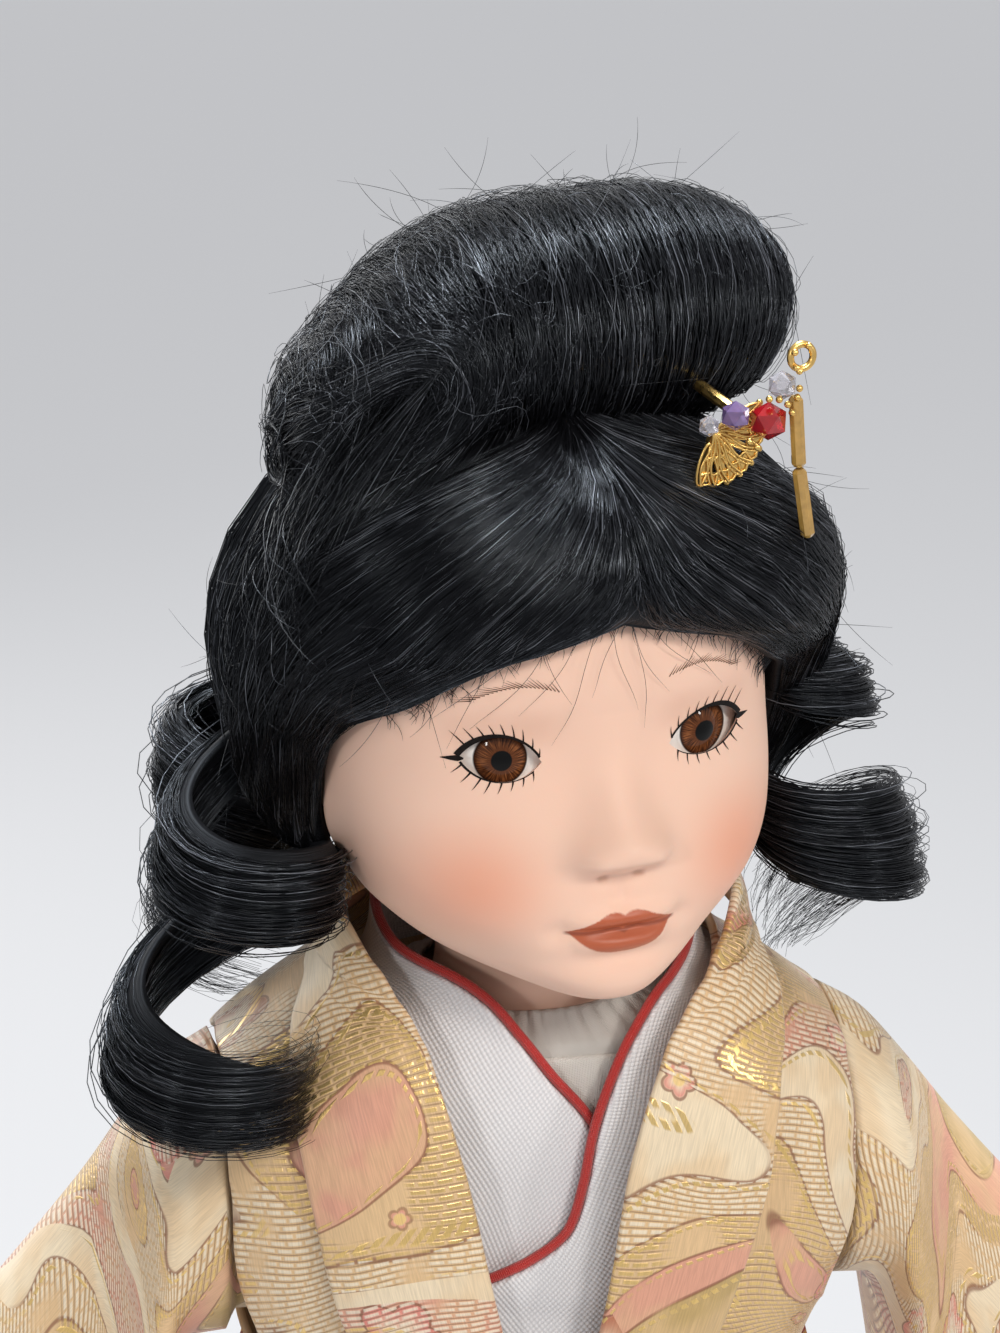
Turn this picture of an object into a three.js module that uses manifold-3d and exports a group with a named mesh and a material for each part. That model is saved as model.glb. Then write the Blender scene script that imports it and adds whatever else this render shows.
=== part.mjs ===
// A porcelain doll dressed as a geisha, standing on the hem of its wrapped kimono.
// Millimetres, +Z up. The doll faces -Y and its own left is +X; the origin is on the floor below the neck.
import * as THREE from 'three';
import { mergeVertices } from 'three/addons/utils/BufferGeometryUtils.js';
import Module from 'manifold-3d';

const wasm = await Module();
wasm.setup();

// Shared fits
const gap = 0.35;
const clothWall = 1.4;
const layerStep = 2.4;
const layerStart = 0.6;

// Heights, stacked from the floor up: hip joints, shoulder joints, ball of the neck, chin
const hipHeight = 176;
const torsoLength = 99;
const neckLift = 26;
const chinLift = 14;
const shoulderHeight = hipHeight + torsoLength;
const neckBallHeight = shoulderHeight + neckLift;
const chinHeight = neckBallHeight + chinLift;

// Head
const headHeight = 78;
const headHalfWidth = 33;
const faceDepth = 33;
const skullDepth = 36;
const headTurn = 12;
const porcelainWall = 3.4;
const crownCut = 63;
const noseLength = 6;
const eyeRise = 38;
const eyeSpacing = 31;
const eyeRadius = 8;
const eyeSink = 0.7;
const eyeOpeningWidth = 12.6;
const eyeOpeningHeight = 7;

// Swivel neck
const neckRadius = 13.5;
const neckBall = 16;
const neckBore = 8;
const boltRadius = 2;
const boltLength = 24;
const boltHead = 5;
const nutRadius = 4.6;
const nutThickness = 3;
const washerThickness = 1.2;
const springRadius = 4;
const springWire = 0.5;
const springTurns = 4;
const springLength = 8;

// Hair
const hairSide = 10;
const hairTop = 5;
const hairEdge = 1.2;
const hairlineRise = 57;
const templeRise = 40;
const templeAngle = 66;
const napeRise = 15;
const knotHalfLength = 36;
const knotAside = 5;
const knotHalfDepth = 22;
const knotHalfHeight = 17;
const knotLift = 13;
const curlRadius = 12;
const curlSway = 3;
const curlReach = 55;
const curlHang = 14;

// Hair ornament
const pinRadius = 0.9;
const pinLength = 32;
const leafSize = 7.5;
const leafThickness = 1.1;
const beadRadius = 2.7;
const smallBeadRadius = 2.1;
const loopRadius = 1.7;
const loopWire = 0.5;
const dropRadius = 1.05;
const dropLength = 10;
const dropLean = 5;

// Dressed chest and waist
const bodiceHalfWidth = 47;
const chestDepth = 27.6;
const backDepth = 22.3;
const waistHalfWidth = 37;
const waistFront = 25;
const waistBack = 28.5;

// Shoulder plate and stuffed body
const plateInset = 6;
const plateHalfWidth = bodiceHalfWidth - plateInset;
const plateDrop = 17;
const plateBottom = shoulderHeight - plateDrop;
const cupLip = 1;
const plateRim = neckBallHeight + cupLip;
const plateWall = 3.2;
const cupRim = neckBall + plateWall + 1;
const jointReach = 3;
const shoulderSpread = bodiceHalfWidth + jointReach;
const hipSpread = 17;

// Kimono
const collarLift = 22;
const collarTop = neckBallHeight + collarLift;
const obiDrop = 32;
const obiTop = shoulderHeight - obiDrop;
const obiHeight = 50;
const obiBottom = obiTop - obiHeight;
const obiWall = 2;
const bodiceTuck = 7;
const bodiceBottom = obiTop - bodiceTuck;
const pipingRadius = 0.75;
const skirtTop = obiBottom - gap;
const bowHalfWidth = 25;
const bowDepth = 17;
const cordRadius = 1.5;
const petalLength = 15;
const hemHalfWidth = 72;
const hemHalfDepth = 66;
const foldDepth = 2.6;

// Arms and sleeves
const armTilt = 40;
const upperArmLength = 58;
const upperArmRadius = 11.5;
const elbowTilt = 8;
const forearmLength = 46;
const handLength = 29;
const wristRadius = 6;
const tieRadius = 0.9;
const wireRadius = 1.1;
const wireReach = 22;
const sleeveSeam = bodiceHalfWidth + 0.8;
const sleeveTuck = 5.4;
const sleeveLength = 66.2;
const sleeveEnd = sleeveSeam + sleeveLength;
const sleeveDrop = 112;
const sleeveHalfDepth = 17;
const pouchHalfDepth = 11;

// Legs and footwear
const thighRadius = 14.3;
const kneeHeight = 112;
const ankleHeight = 24;
const ankleRadius = 7.6;
const footLength = 46;
const footHalfWidth = 9;
const soleThickness = 7;
const soleMargin = 3;
const thongRadius = 1.1;

// Shape helpers
const radians = THREE.MathUtils.degToRad;
const lerp = THREE.MathUtils.lerp;
const smooth = THREE.MathUtils.smoothstep;
const hill = (x, centre, spread) => Math.exp(-0.5 * ((x - centre) / spread) ** 2);
const steps = (count, from, to) => Array.from({ length: count + 1 }, (_, i) => lerp(from, to, i / count));
const spot = (x, y, z) => new THREE.Vector3(x, y, z);

// A smooth function through a few [place, value] pairs, without overshoot between them.
function curveThrough(pairs) {
  const slope = pairs.slice(1).map((p, i) => (p[1] - pairs[i][1]) / (p[0] - pairs[i][0]));
  const tangent = pairs.map((p, i) => {
    if (i === 0) return slope[0];
    if (i === pairs.length - 1) return slope[i - 1];
    if (slope[i - 1] * slope[i] <= 0) return 0;
    return 2 * slope[i - 1] * slope[i] / (slope[i - 1] + slope[i]);
  });
  return (x) => {
    if (x <= pairs[0][0]) return pairs[0][1];
    if (x >= pairs[pairs.length - 1][0]) return pairs[pairs.length - 1][1];
    const i = pairs.findIndex((p) => p[0] > x) - 1;
    const span = pairs[i + 1][0] - pairs[i][0];
    const t = (x - pairs[i][0]) / span;
    const rise = (t ** 3 - 2 * t ** 2 + t) * tangent[i] + (t ** 3 - t ** 2) * tangent[i + 1];
    const blend = 3 * t ** 2 - 2 * t ** 3;
    return lerp(pairs[i][1], pairs[i + 1][1], blend) + rise * span;
  };
}

// Turns points and triangles into a closed geometry with its faces outward.
function closedGeometry(points, triangles) {
  const volume = triangles.reduce((sum, [a, b, c]) => {
    return sum + points[a].dot(points[b].clone().cross(points[c]));
  }, 0);
  const outward = volume > 0 ? triangles : triangles.map(([a, b, c]) => [a, c, b]);
  const geometry = new THREE.BufferGeometry();
  const numbers = points.flatMap((p) => [p.x, p.y, p.z]);
  geometry.setAttribute('position', new THREE.Float32BufferAttribute(numbers, 3));
  geometry.setIndex(outward.flat());
  geometry.computeVertexNormals();
  return geometry;
}

// Skins a row of rings; an open row gets a cap at each end, a closed row runs back into its first ring.
function loft(rings, closed = false) {
  const sides = rings[0].length;
  const points = rings.flat();
  const triangles = [];
  const bands = closed ? rings.length : rings.length - 1;
  for (let i = 0; i < bands; i += 1) {
    const next = (i + 1) % rings.length;
    for (let j = 0; j < sides; j += 1) {
      const turn = (j + 1) % sides;
      triangles.push([i * sides + j, i * sides + turn, next * sides + turn]);
      triangles.push([i * sides + j, next * sides + turn, next * sides + j]);
    }
  }
  if (!closed) {
    const middle = (ring) => ring.reduce((sum, p) => sum.add(p), spot(0, 0, 0)).divideScalar(sides);
    const last = (rings.length - 1) * sides;
    points.push(middle(rings[0]), middle(rings[rings.length - 1]));
    for (let j = 0; j < sides; j += 1) {
      const turn = (j + 1) % sides;
      triangles.push([points.length - 2, turn, j]);
      triangles.push([points.length - 1, last + j, last + turn]);
    }
  }
  return closedGeometry(points, triangles);
}

// A cloth panel: one grid at each offset from a base surface, joined round the rim.
function panel(pointAt, columns, rows, inner, outer) {
  const points = [];
  const triangles = [];
  const wide = columns + 1;
  const count = wide * (rows + 1);
  for (const offset of [outer, inner]) {
    for (let j = 0; j <= rows; j += 1) {
      for (let i = 0; i <= columns; i += 1) points.push(pointAt(i / columns, j / rows, offset));
    }
  }
  const quad = (a, b, c, d) => triangles.push([a, b, c], [a, c, d]);
  for (let j = 0; j < rows; j += 1) {
    for (let i = 0; i < columns; i += 1) {
      const a = j * wide + i;
      quad(a, a + 1, a + wide + 1, a + wide);
      quad(count + a, count + a + wide, count + a + wide + 1, count + a + 1);
    }
  }
  for (let i = 0; i < columns; i += 1) {
    const top = rows * wide + i;
    quad(i + 1, i, count + i, count + i + 1);
    quad(top, top + 1, count + top + 1, count + top);
  }
  for (let j = 0; j < rows; j += 1) {
    const left = j * wide;
    const right = left + columns;
    quad(left, left + wide, count + left + wide, count + left);
    quad(right + wide, right, count + right, count + right + wide);
  }
  return closedGeometry(points, triangles);
}

// A round cord or wire along points, or along a closed ring of points.
function cord(points, radius, count, sides, closed = false) {
  const path = new THREE.CatmullRomCurve3(points, closed);
  if (!closed) {
    const corners = steps(sides - 1, 0, Math.PI * 2 * (sides - 1) / sides);
    const corner = (a) => new THREE.Vector2(radius * Math.cos(a), radius * Math.sin(a));
    const profile = new THREE.Shape(corners.map(corner));
    return new THREE.ExtrudeGeometry(profile, { steps: count, extrudePath: path });
  }
  const frames = path.computeFrenetFrames(count, true);
  const rings = steps(count - 1, 0, (count - 1) / count).map((t, i) => {
    const centre = path.getPointAt(t);
    return steps(sides - 1, 0, Math.PI * 2 * (sides - 1) / sides).map((a) => centre.clone()
      .addScaledVector(frames.normals[i], radius * Math.cos(a))
      .addScaledVector(frames.binormals[i], radius * Math.sin(a)));
  });
  return loft(rings, true);
}

// A turned solid about the Z axis from [radius, height] pairs.
function turned(pairs, sides) {
  const geometry = new THREE.LatheGeometry(pairs.map(([r, z]) => new THREE.Vector2(r, z)), sides);
  return geometry.rotateX(Math.PI / 2);
}

// Booleans
function toSolid(geometry) {
  const bare = new THREE.BufferGeometry();
  bare.setAttribute('position', geometry.getAttribute('position').clone());
  if (geometry.index) bare.setIndex(geometry.index.clone());
  const welded = mergeVertices(bare, 1e-4);
  const solid = new wasm.Manifold(new wasm.Mesh({
    numProp: 3,
    vertProperties: new Float32Array(welded.attributes.position.array),
    triVerts: new Uint32Array(welded.index.array),
  }));
  return solid;
}

function toGeometry(solid) {
  const mesh = solid.getMesh();
  const geometry = new THREE.BufferGeometry();
  geometry.setAttribute('position', new THREE.Float32BufferAttribute(mesh.vertProperties, 3));
  geometry.setIndex(new THREE.Uint32BufferAttribute(mesh.triVerts, 1));
  geometry.computeVertexNormals();
  return geometry;
}

function cut(body, ...tools) {
  return toGeometry(tools.reduce((left, tool) => left.subtract(toSolid(tool)), toSolid(body)));
}

function join(first, ...others) {
  return toGeometry(others.reduce((sum, other) => sum.add(toSolid(other)), toSolid(first)));
}

// Colours and the groups of the assembly
function matter(color, roughness, metalness = 0) {
  return new THREE.MeshStandardMaterial({ color, roughness, metalness });
}

const bisque = () => matter('#f0c4a4', 0.75);
const hair = () => matter('#17151a', 0.45);
const gold = () => matter('#c99a3a', 0.3, 0.9);
const brocade = () => matter('#d9b384', 0.55);
const whiteSilk = () => matter('#efece6', 0.5);
const redSilk = () => matter('#b3201c', 0.45);
const calico = () => matter('#e6d9c3', 0.9);
const steel = () => matter('#8f9296', 0.35, 0.9);

const doll = new THREE.Group();
const head = new THREE.Group();
head.name = 'turning_head';
head.rotation.z = radians(headTurn);
doll.add(head);

function piece(name, geometry, material, parent = doll) {
  const mesh = new THREE.Mesh(geometry, material);
  mesh.name = name;
  parent.add(mesh);
  return mesh;
}

// Head surface. Angle 0 looks along -Y, heights are above the chin.
const widthShare = curveThrough([[-0.02, 0.1], [0.02, 0.36], [0.06, 0.55], [0.12, 0.71], [0.2, 0.85],
  [0.3, 0.94], [0.42, 0.985], [0.56, 1], [0.7, 0.98], [0.82, 0.87], [0.91, 0.66], [0.97, 0.38], [1, 0.02]]);
const frontShare = curveThrough([[-0.02, 0.4], [0.01, 0.95], [0.04, 1.06], [0.08, 1.09], [0.12, 1.08],
  [0.18, 1.08], [0.3, 1.04], [0.48, 0.958], [0.6, 0.98], [0.7, 0.99], [0.8, 0.92], [0.9, 0.72], [0.97, 0.4],
  [1, 0.02]]);
const backShare = curveThrough([[-0.02, 0.3], [0.1, 0.4], [0.2, 0.58], [0.33, 0.84], [0.48, 0.97], [0.6, 1],
  [0.74, 0.95], [0.86, 0.79], [0.95, 0.48], [1, 0.02]]);
const noseRidge = curveThrough([[21, 0], [22.6, 0.42], [24.2, 0.86], [26.2, 1], [29.5, 0.74], [33.5, 0.42],
  [38, 0.16], [44, 0]]);
const noseWidth = curveThrough([[21, 4.6], [25, 4.7], [29, 3.8], [35, 3.2], [44, 3.6]]);
const eyeSide = eyeSpacing / 2;

function faceRelief(across, rise) {
  const side = Math.abs(across);
  const lip = (half) => Math.max(0, 1 - (side / half) ** 2);
  let relief = noseLength * noseRidge(rise) * hill(across, 0, noseWidth(rise));
  relief += 2.1 * hill(side, 5.4, 1.9) * hill(rise, 24.2, 1.9);
  relief -= 0.7 * hill(side, 2.6, 1) * hill(rise, 21.8, 0.9);
  relief += 1.5 * lip(8) * hill(rise, 15.1, 1.05);
  relief += 1.9 * lip(6.8) * hill(rise, 11.6, 1.2);
  relief -= 0.9 * lip(8.4) * hill(rise, 13.4, 0.55);
  relief -= 0.8 * hill(side, 8.6, 1.2) * hill(rise, 13.6, 1.3);
  relief -= 0.45 * hill(across, 0, 1) * hill(rise, 18, 1.9);
  relief -= 0.9 * hill(across, 0, 5) * hill(rise, 8.7, 1.3);
  relief += 1.3 * hill(across, 0, 5) * hill(rise, 4.6, 3);
  relief += 2 * hill(side, 17, 8) * hill(rise, 18, 7);
  relief += 2.8 * hill(side, 29, 7) * hill(rise, 22, 16);
  relief -= 1.1 * hill(side, eyeSide - 3, 6) * hill(rise, eyeRise + 1, 4.5);
  relief += 1.1 * hill(side, eyeSide + 1, 5) * hill(rise, eyeRise, 3.6);
  relief += 0.7 * hill(side, 14, 8) * hill(rise, eyeRise + 9, 3);
  return relief;
}

function headRadius(angle, rise) {
  const share = rise / headHeight;
  const front = Math.cos(angle) > 0;
  const halfWidth = headHalfWidth * widthShare(share);
  const depth = front ? faceDepth * frontShare(share) : skullDepth * backShare(share);
  const power = 2.22;
  const round = ((Math.abs(Math.sin(angle)) / halfWidth) ** power
    + (Math.abs(Math.cos(angle)) / depth) ** power) ** (-1 / power);
  const facing = front ? smooth(Math.cos(angle), 0, 0.35) : 0;
  const relief = facing * faceRelief(faceDepth * Math.sin(angle), rise);
  return round + relief * smooth(share, -0.02, 0.03);
}

const neckProfile = curveThrough([[neckBallHeight, neckBall], [neckBallHeight + 5, neckRadius + 0.7],
  [neckBallHeight + 9, neckRadius], [chinHeight + 16, neckRadius]]);

// The skin of head and neck together, blended where the jaw leaves the neck.
function skinRadius(angle, z) {
  const neck = neckProfile(z);
  const rise = z - chinHeight;
  if (rise < -0.02 * headHeight) return neck;
  const skull = headRadius(angle, rise);
  if (rise > 16) return skull;
  const soft = 2.5;
  const either = soft * Math.log(Math.exp(neck / soft) + Math.exp(skull / soft));
  return either - soft * 0.25 * hill(neck - skull, 0, 4);
}

const around = (radius, angle, z) => spot(radius * Math.sin(angle), -radius * Math.cos(angle), z);

// A point of the skull moved off along the surface's normal.
function skullPoint(angle, rise, offset) {
  const at = (a, h) => around(headRadius(a, h), a, h + chinHeight);
  const lean = 0.02;
  const across = at(angle + lean, rise).sub(at(angle - lean, rise));
  const up = at(angle, Math.min(rise + 0.4, headHeight)).sub(at(angle, rise - 0.4));
  return at(angle, rise).addScaledVector(across.cross(up).normalize(), offset);
}

const headAngles = [...steps(20, -64, 64), ...steps(13, 64, 296).slice(1, -1)].map(radians);

function headShell() {
  const ring = (z, radius) => headAngles.map((a) => around(radius(a), a, z));
  const hole = boltRadius + gap;
  const ball = [-82, -50, -20].map((lift) => {
    const r = Math.max(neckBall * Math.cos(radians(lift)), hole);
    return ring(neckBallHeight + neckBall * Math.sin(radians(lift)), () => r);
  });
  const neckHeights = [neckBallHeight, neckBallHeight + 5, neckBallHeight + 9];
  const faceRises = [-2, 0, 1.5, 4.5, 8.5, 11.5, 13.4, 15.2, 18, 20.5, 22, 25, 29, 34, 40, 46, 54, crownCut];
  const skinHeights = [...neckHeights, ...faceRises.map((h) => h + chinHeight)];
  const skin = skinHeights.map((z) => ring(z, (a) => skinRadius(a, z)));
  const bare = (a, rise) => {
    const share = rise / headHeight;
    const depth = Math.cos(a) > 0 ? faceDepth * frontShare(share) : skullDepth * backShare(share);
    const hollow = [headHalfWidth * widthShare(share) - porcelainWall, depth - porcelainWall];
    return 1 / Math.hypot(Math.sin(a) / hollow[0], Math.cos(a) / hollow[1]);
  };
  const lining = [crownCut, 46, 28, 12].map((h) => ring(h + chinHeight, (a) => bare(a, h)));
  const floor = neckBallHeight - neckBall * 0.66;
  const bore = [chinHeight + 2, floor].map((z) => ring(z, () => neckBore));
  const shell = loft([...ball, ...skin, ...lining, ...bore, ring(floor, () => hole)], true);
  const tools = [-1, 1].flatMap((side) => [eyeSocket(side), eyeOpening(side)]);
  return cut(shell, ...tools);
}

const eyeAngle = Math.asin(eyeSide / faceDepth);
const eyeFront = headRadius(eyeAngle, eyeRise) * Math.cos(eyeAngle);
const eyeCentre = (side) => spot(side * eyeSide, eyeRadius * 1.06 + eyeSink - eyeFront, chinHeight + eyeRise);

function eyeSocket(side) {
  const seat = new THREE.SphereGeometry(eyeRadius + gap, 16, 10);
  const centre = eyeCentre(side);
  return seat.translate(centre.x, centre.y, centre.z);
}

function eyeOpening(side) {
  const outline = new THREE.Shape();
  const half = side * eyeOpeningWidth / 2;
  const tall = eyeOpeningHeight;
  outline.moveTo(-half, -0.5);
  outline.bezierCurveTo(-half * 0.55, tall * 0.62, half * 0.5, tall * 0.72, half, 0.6);
  outline.bezierCurveTo(half * 0.6, -tall * 0.52, -half * 0.5, -tall * 0.58, -half, -0.5);
  const tool = new THREE.ExtrudeGeometry(outline, { depth: 16, bevelEnabled: false, curveSegments: 6 });
  const centre = eyeCentre(side);
  tool.rotateX(Math.PI / 2);
  return tool.translate(centre.x, centre.y - 3, centre.z);
}

function eye() {
  const r = eyeRadius;
  const dome = steps(4, 8, 62).map((a) => [r * Math.cos(radians(a)), r * Math.sin(radians(a))]);
  const cornea = [[r * 0.33, r * 0.985], [r * 0.17, r * 1.045], [0, r * 1.06]];
  return turned([[0, -1.5], [r * 0.85, -1.5], ...dome, ...cornea], 12);
}

function crownPate() {
  const rises = [crownCut + gap, ...[1 / 3, 2 / 3, 0.9].map((share) => lerp(crownCut, headHeight, share))];
  const angles = headAngles.filter((_, i) => i % 2 === 0);
  const ring = (rise, offset) => angles.map((a) => skullPoint(a, rise, offset));
  const inner = rises.map((rise) => ring(rise, -porcelainWall * 0.75)).reverse();
  const lowest = inner[inner.length - 1];
  lowest.forEach((p) => p.setZ(chinHeight + crownCut + gap));
  return loft([...inner, ...rises.map((rise) => ring(rise, 0))]);
}

// Hair
const hairlineAt = curveThrough([[0, hairlineRise], [25, hairlineRise - 3.5], [48, templeRise + 6],
  [templeAngle, templeRise], [templeAngle + 7, templeRise - 8], [templeAngle + 15, napeRise + 3],
  [110, napeRise], [180, napeRise - 1]]);
const sideAngles = [60, 66, 70, 74, 79, 86, 98, 115, 135, 157];
const hairAngles = [...steps(18, -54, 54), ...sideAngles, 180, ...sideAngles.map((a) => 360 - a).reverse()]
  .map(radians);
const turnFromFront = (angle) => {
  return Math.abs(THREE.MathUtils.euclideanModulo(THREE.MathUtils.radToDeg(angle) + 180, 360) - 180);
};

function hairThickness(angle, down) {
  const turn = turnFromFront(angle);
  const side = smooth(turn, 8, 60);
  const wave = 1 + 0.12 * Math.cos(radians(turn * 9)) * (1 - side * 0.5);
  const full = lerp(hairTop + 1.5, hairSide, side) * wave;
  const swell = Math.sin(Math.PI * Math.min(1, 0.18 + down * 0.86)) ** 0.8;
  return Math.max(hairEdge, lerp(hairTop, full * swell, smooth(down, 0.05, 0.4)));
}

function hairRing(down, offsetAt) {
  return hairAngles.map((a) => {
    const drop = Math.sin(down * Math.PI / 2) ** 1.15;
    return skullPoint(a, lerp(headHeight - 0.6, hairlineAt(turnFromFront(a)), drop), offsetAt(a, down));
  });
}

const hairRows = [0.01, 0.1, 0.24, 0.4, 0.56, 0.72, 0.85, 0.94, 1];
const wigInside = 1.8;

function wigOuter(clearance) {
  const rows = hairRows.slice().reverse();
  return rows.map((down) => hairRing(down, (a) => wigInside + clearance + hairThickness(a, down)));
}

function wigCap() {
  const inner = hairRows.map((down) => hairRing(down, () => wigInside));
  return loft([...inner, ...wigOuter(0)]);
}

// The wig's outer form, closed underneath, that topknot and curls are fitted round.
function wigForm(clearance) {
  const rings = wigOuter(clearance);
  const low = rings[0].map((p) => spot(p.x * 0.8, p.y * 0.8, p.z - 1));
  return loft([low, ...rings]);
}

function topknot() {
  const height = curveThrough([[-1, 0.25], [-0.88, 0.62], [-0.6, 0.86], [-0.15, 1], [0.35, 1], [0.7, 0.84],
    [0.92, 0.52], [1, 0.2]]);
  const middle = chinHeight + headHeight + knotLift;
  const rings = [-1, -0.9, -0.72, -0.45, -0.15, 0.15, 0.45, 0.7, 0.88, 1].map((t) => {
    return steps(13, 0, Math.PI * 2 * 13 / 14).map((a) => {
      const groove = 1 - 0.03 * Math.cos(a * 6 + t * 2);
      const y = 3 + 2 * t * t + knotHalfDepth * height(t) * Math.cos(a) * groove;
      const z = middle + 3 * t - 2.5 * t * t + knotHalfHeight * height(t) * Math.sin(a) * groove;
      return spot(knotAside + knotHalfLength * t, y, z);
    });
  });
  const pinHole = hairpin(pinRadius + gap);
  return cut(loft(rings), wigForm(gap), pinHole);
}

// A hanging sausage curl: a round lock wound round its own falling axis.
function curl(path, radius, turns, phase) {
  const axis = new THREE.CatmullRomCurve3(path);
  const rings = steps(12, 0, 1).map((t) => {
    const tip = t > 0.72 ? ((t - 0.72) / 0.3) ** 4 : 0;
    const swell = Math.min(1, 0.7 + t * 0.9) * Math.sqrt(Math.max(0.06, 1 - tip));
    const wind = phase + turns * Math.PI * 2 * t;
    const centre = axis.getPoint(t);
    const sway = curlSway * Math.min(1, t * 2);
    return steps(9, 0, Math.PI * 2 * 9 / 10).map((a) => spot(
      centre.x + sway * Math.cos(wind) + radius * swell * Math.cos(a),
      centre.y + sway * Math.sin(wind) + radius * swell * Math.sin(a),
      centre.z + 2.4 * Math.sin(a - wind) * swell,
    ));
  });
  return cut(loft(rings), wigForm(gap));
}

function sideCurl(side) {
  const bottom = chinHeight - curlHang + (side > 0 ? 3 : 0);
  const path = [spot(side * (curlReach - 11), 2, chinHeight + 42),
    spot(side * (curlReach - 4), -3, chinHeight + 28), spot(side * curlReach, -8, chinHeight + 8),
    spot(side * curlReach, -10, bottom)];
  return curl(path, curlRadius, side * 1.6, side > 0 ? 0 : Math.PI);
}

function backCurl(angle) {
  const out = (r, z) => spot(r * Math.sin(radians(angle)), -r * Math.cos(radians(angle)), z);
  const reach = curlReach - 6;
  const path = [out(reach - 6, chinHeight + 38), out(reach - 2, chinHeight + 24), out(reach, chinHeight + 8),
    out(reach, chinHeight - curlHang + 4)];
  return curl(path, curlRadius * 0.93, 1.6, radians(angle));
}

// Hair ornament, pinned under the front of the topknot's left end; the axes are the head's own.
const pinPoint = spot(knotHalfLength - 14.5, -knotHalfDepth - 6.4, chinHeight + headHeight + 3.9);
const leafFront = pinPoint.y - gap - leafThickness;
const redSpot = spot(pinPoint.x + 0.4, leafFront - gap - beadRadius, pinPoint.z + 1.4);
const clearReach = beadRadius + smallBeadRadius + gap;
const violetSpot = redSpot.clone().add(spot(-clearReach * 0.97, 0, clearReach * 0.24));
const clearSpot = redSpot.clone().add(spot(clearReach * 0.37, 0, clearReach * 0.93));
const loopReach = smallBeadRadius + loopRadius + loopWire + gap;
const loopSpot = clearSpot.clone().add(spot(loopReach * 0.6, 0, loopReach * 0.8));
const dropReach = smallBeadRadius + gap;
const dropSpot = clearSpot.clone().add(spot(dropReach * 0.84, 0, -dropReach * 0.7));

function hairpin(radius) {
  const pin = new THREE.CylinderGeometry(radius, radius, pinLength, 8).translate(0, pinLength / 2, 0);
  const way = new THREE.Quaternion().setFromUnitVectors(spot(0, 1, 0), spot(-0.25, 0.93, 0.27).normalize());
  return pin.applyQuaternion(way).translate(pinPoint.x, pinPoint.y, pinPoint.z);
}

function filigreeLeaf() {
  const outline = new THREE.Shape();
  const lobes = 7;
  const rim = steps(lobes * 4, 25, 155).map((a, i) => {
    const reach = leafSize * (1 + 0.07 * Math.cos(i * Math.PI / 2));
    return new THREE.Vector2(reach * Math.cos(radians(a)), reach * Math.sin(radians(a)));
  });
  outline.moveTo(0, 0);
  rim.forEach((p) => outline.lineTo(p.x, p.y));
  for (const a of [45, 67.5, 90, 112.5, 135]) {
    const hole = new THREE.Path();
    const near = leafSize * 0.42;
    const far = leafSize * 0.82;
    const half = 6.5;
    hole.moveTo(near * Math.cos(radians(a)), near * Math.sin(radians(a)));
    hole.lineTo(far * Math.cos(radians(a - half)), far * Math.sin(radians(a - half)));
    hole.lineTo(far * Math.cos(radians(a + half)), far * Math.sin(radians(a + half)));
    outline.holes.push(hole);
  }
  const leaf = new THREE.ExtrudeGeometry(outline, { depth: leafThickness, bevelEnabled: false });
  leaf.rotateZ(radians(230)).rotateX(Math.PI / 2);
  return leaf.translate(pinPoint.x - 6.5, pinPoint.y - gap, pinPoint.z - 0.2);
}

function dropBead() {
  const end = dropRadius * 0.6;
  return turned([[0, -dropLength], [end, -dropLength], [dropRadius, end - dropLength], [dropRadius, -end],
    [end, 0], [0, 0]], 8);
}

// Form under the robes. Angle 0 looks along -Y; the upper end is the stand of the collar round the neck.
// Heights on it are drops below the shoulder joints, shares of the way up to the neck's ball,
// or lifts above that.
const chest = (drop) => shoulderHeight - drop;
const yoke = (share) => lerp(shoulderHeight, neckBallHeight, share);
const throat = (lift) => neckBallHeight + lift;
const formWidth = curveThrough([[skirtTop, waistHalfWidth], [chest(60), waistHalfWidth - 3],
  [chest(40), waistHalfWidth - 2.5], [chest(25), bodiceHalfWidth - 8.5], [chest(13), bodiceHalfWidth - 4],
  [chest(1), bodiceHalfWidth], [yoke(0.35), bodiceHalfWidth], [yoke(0.65), bodiceHalfWidth - 3],
  [yoke(0.81), bodiceHalfWidth - 7.5], [yoke(0.96), bodiceHalfWidth - 13], [throat(3), neckRadius + 14.5],
  [throat(8), neckRadius + 10], [throat(14), neckRadius + 8], [collarTop, neckRadius + 7.5]]);
const formFront = curveThrough([[skirtTop, waistFront], [chest(60), waistFront - 2],
  [chest(40), waistFront - 1], [chest(25), chestDepth - 1.1], [chest(13), chestDepth],
  [chest(1), chestDepth - 0.8],
  [yoke(0.35), chestDepth - 2], [yoke(0.65), chestDepth - 3.2], [yoke(0.96), cupRim + 2.6],
  [throat(7), cupRim + 0.3], [throat(14), neckRadius + 5], [collarTop, neckRadius + 4]]);
const formBack = curveThrough([[skirtTop, waistBack], [chest(60), waistBack - 4.5],
  [chest(40), backDepth - 0.7], [chest(25), backDepth], [yoke(0.65), backDepth], [throat(3), backDepth - 0.7],
  [throat(14), backDepth - 1.3], [collarTop, backDepth - 0.8]]);
const formPower = curveThrough([[skirtTop, 2.1], [chest(40), 2.3], [chest(13), 2.8], [yoke(0.04), 3],
  [yoke(0.58), 2.6], [throat(4), 2.1], [collarTop, 2]]);

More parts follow.
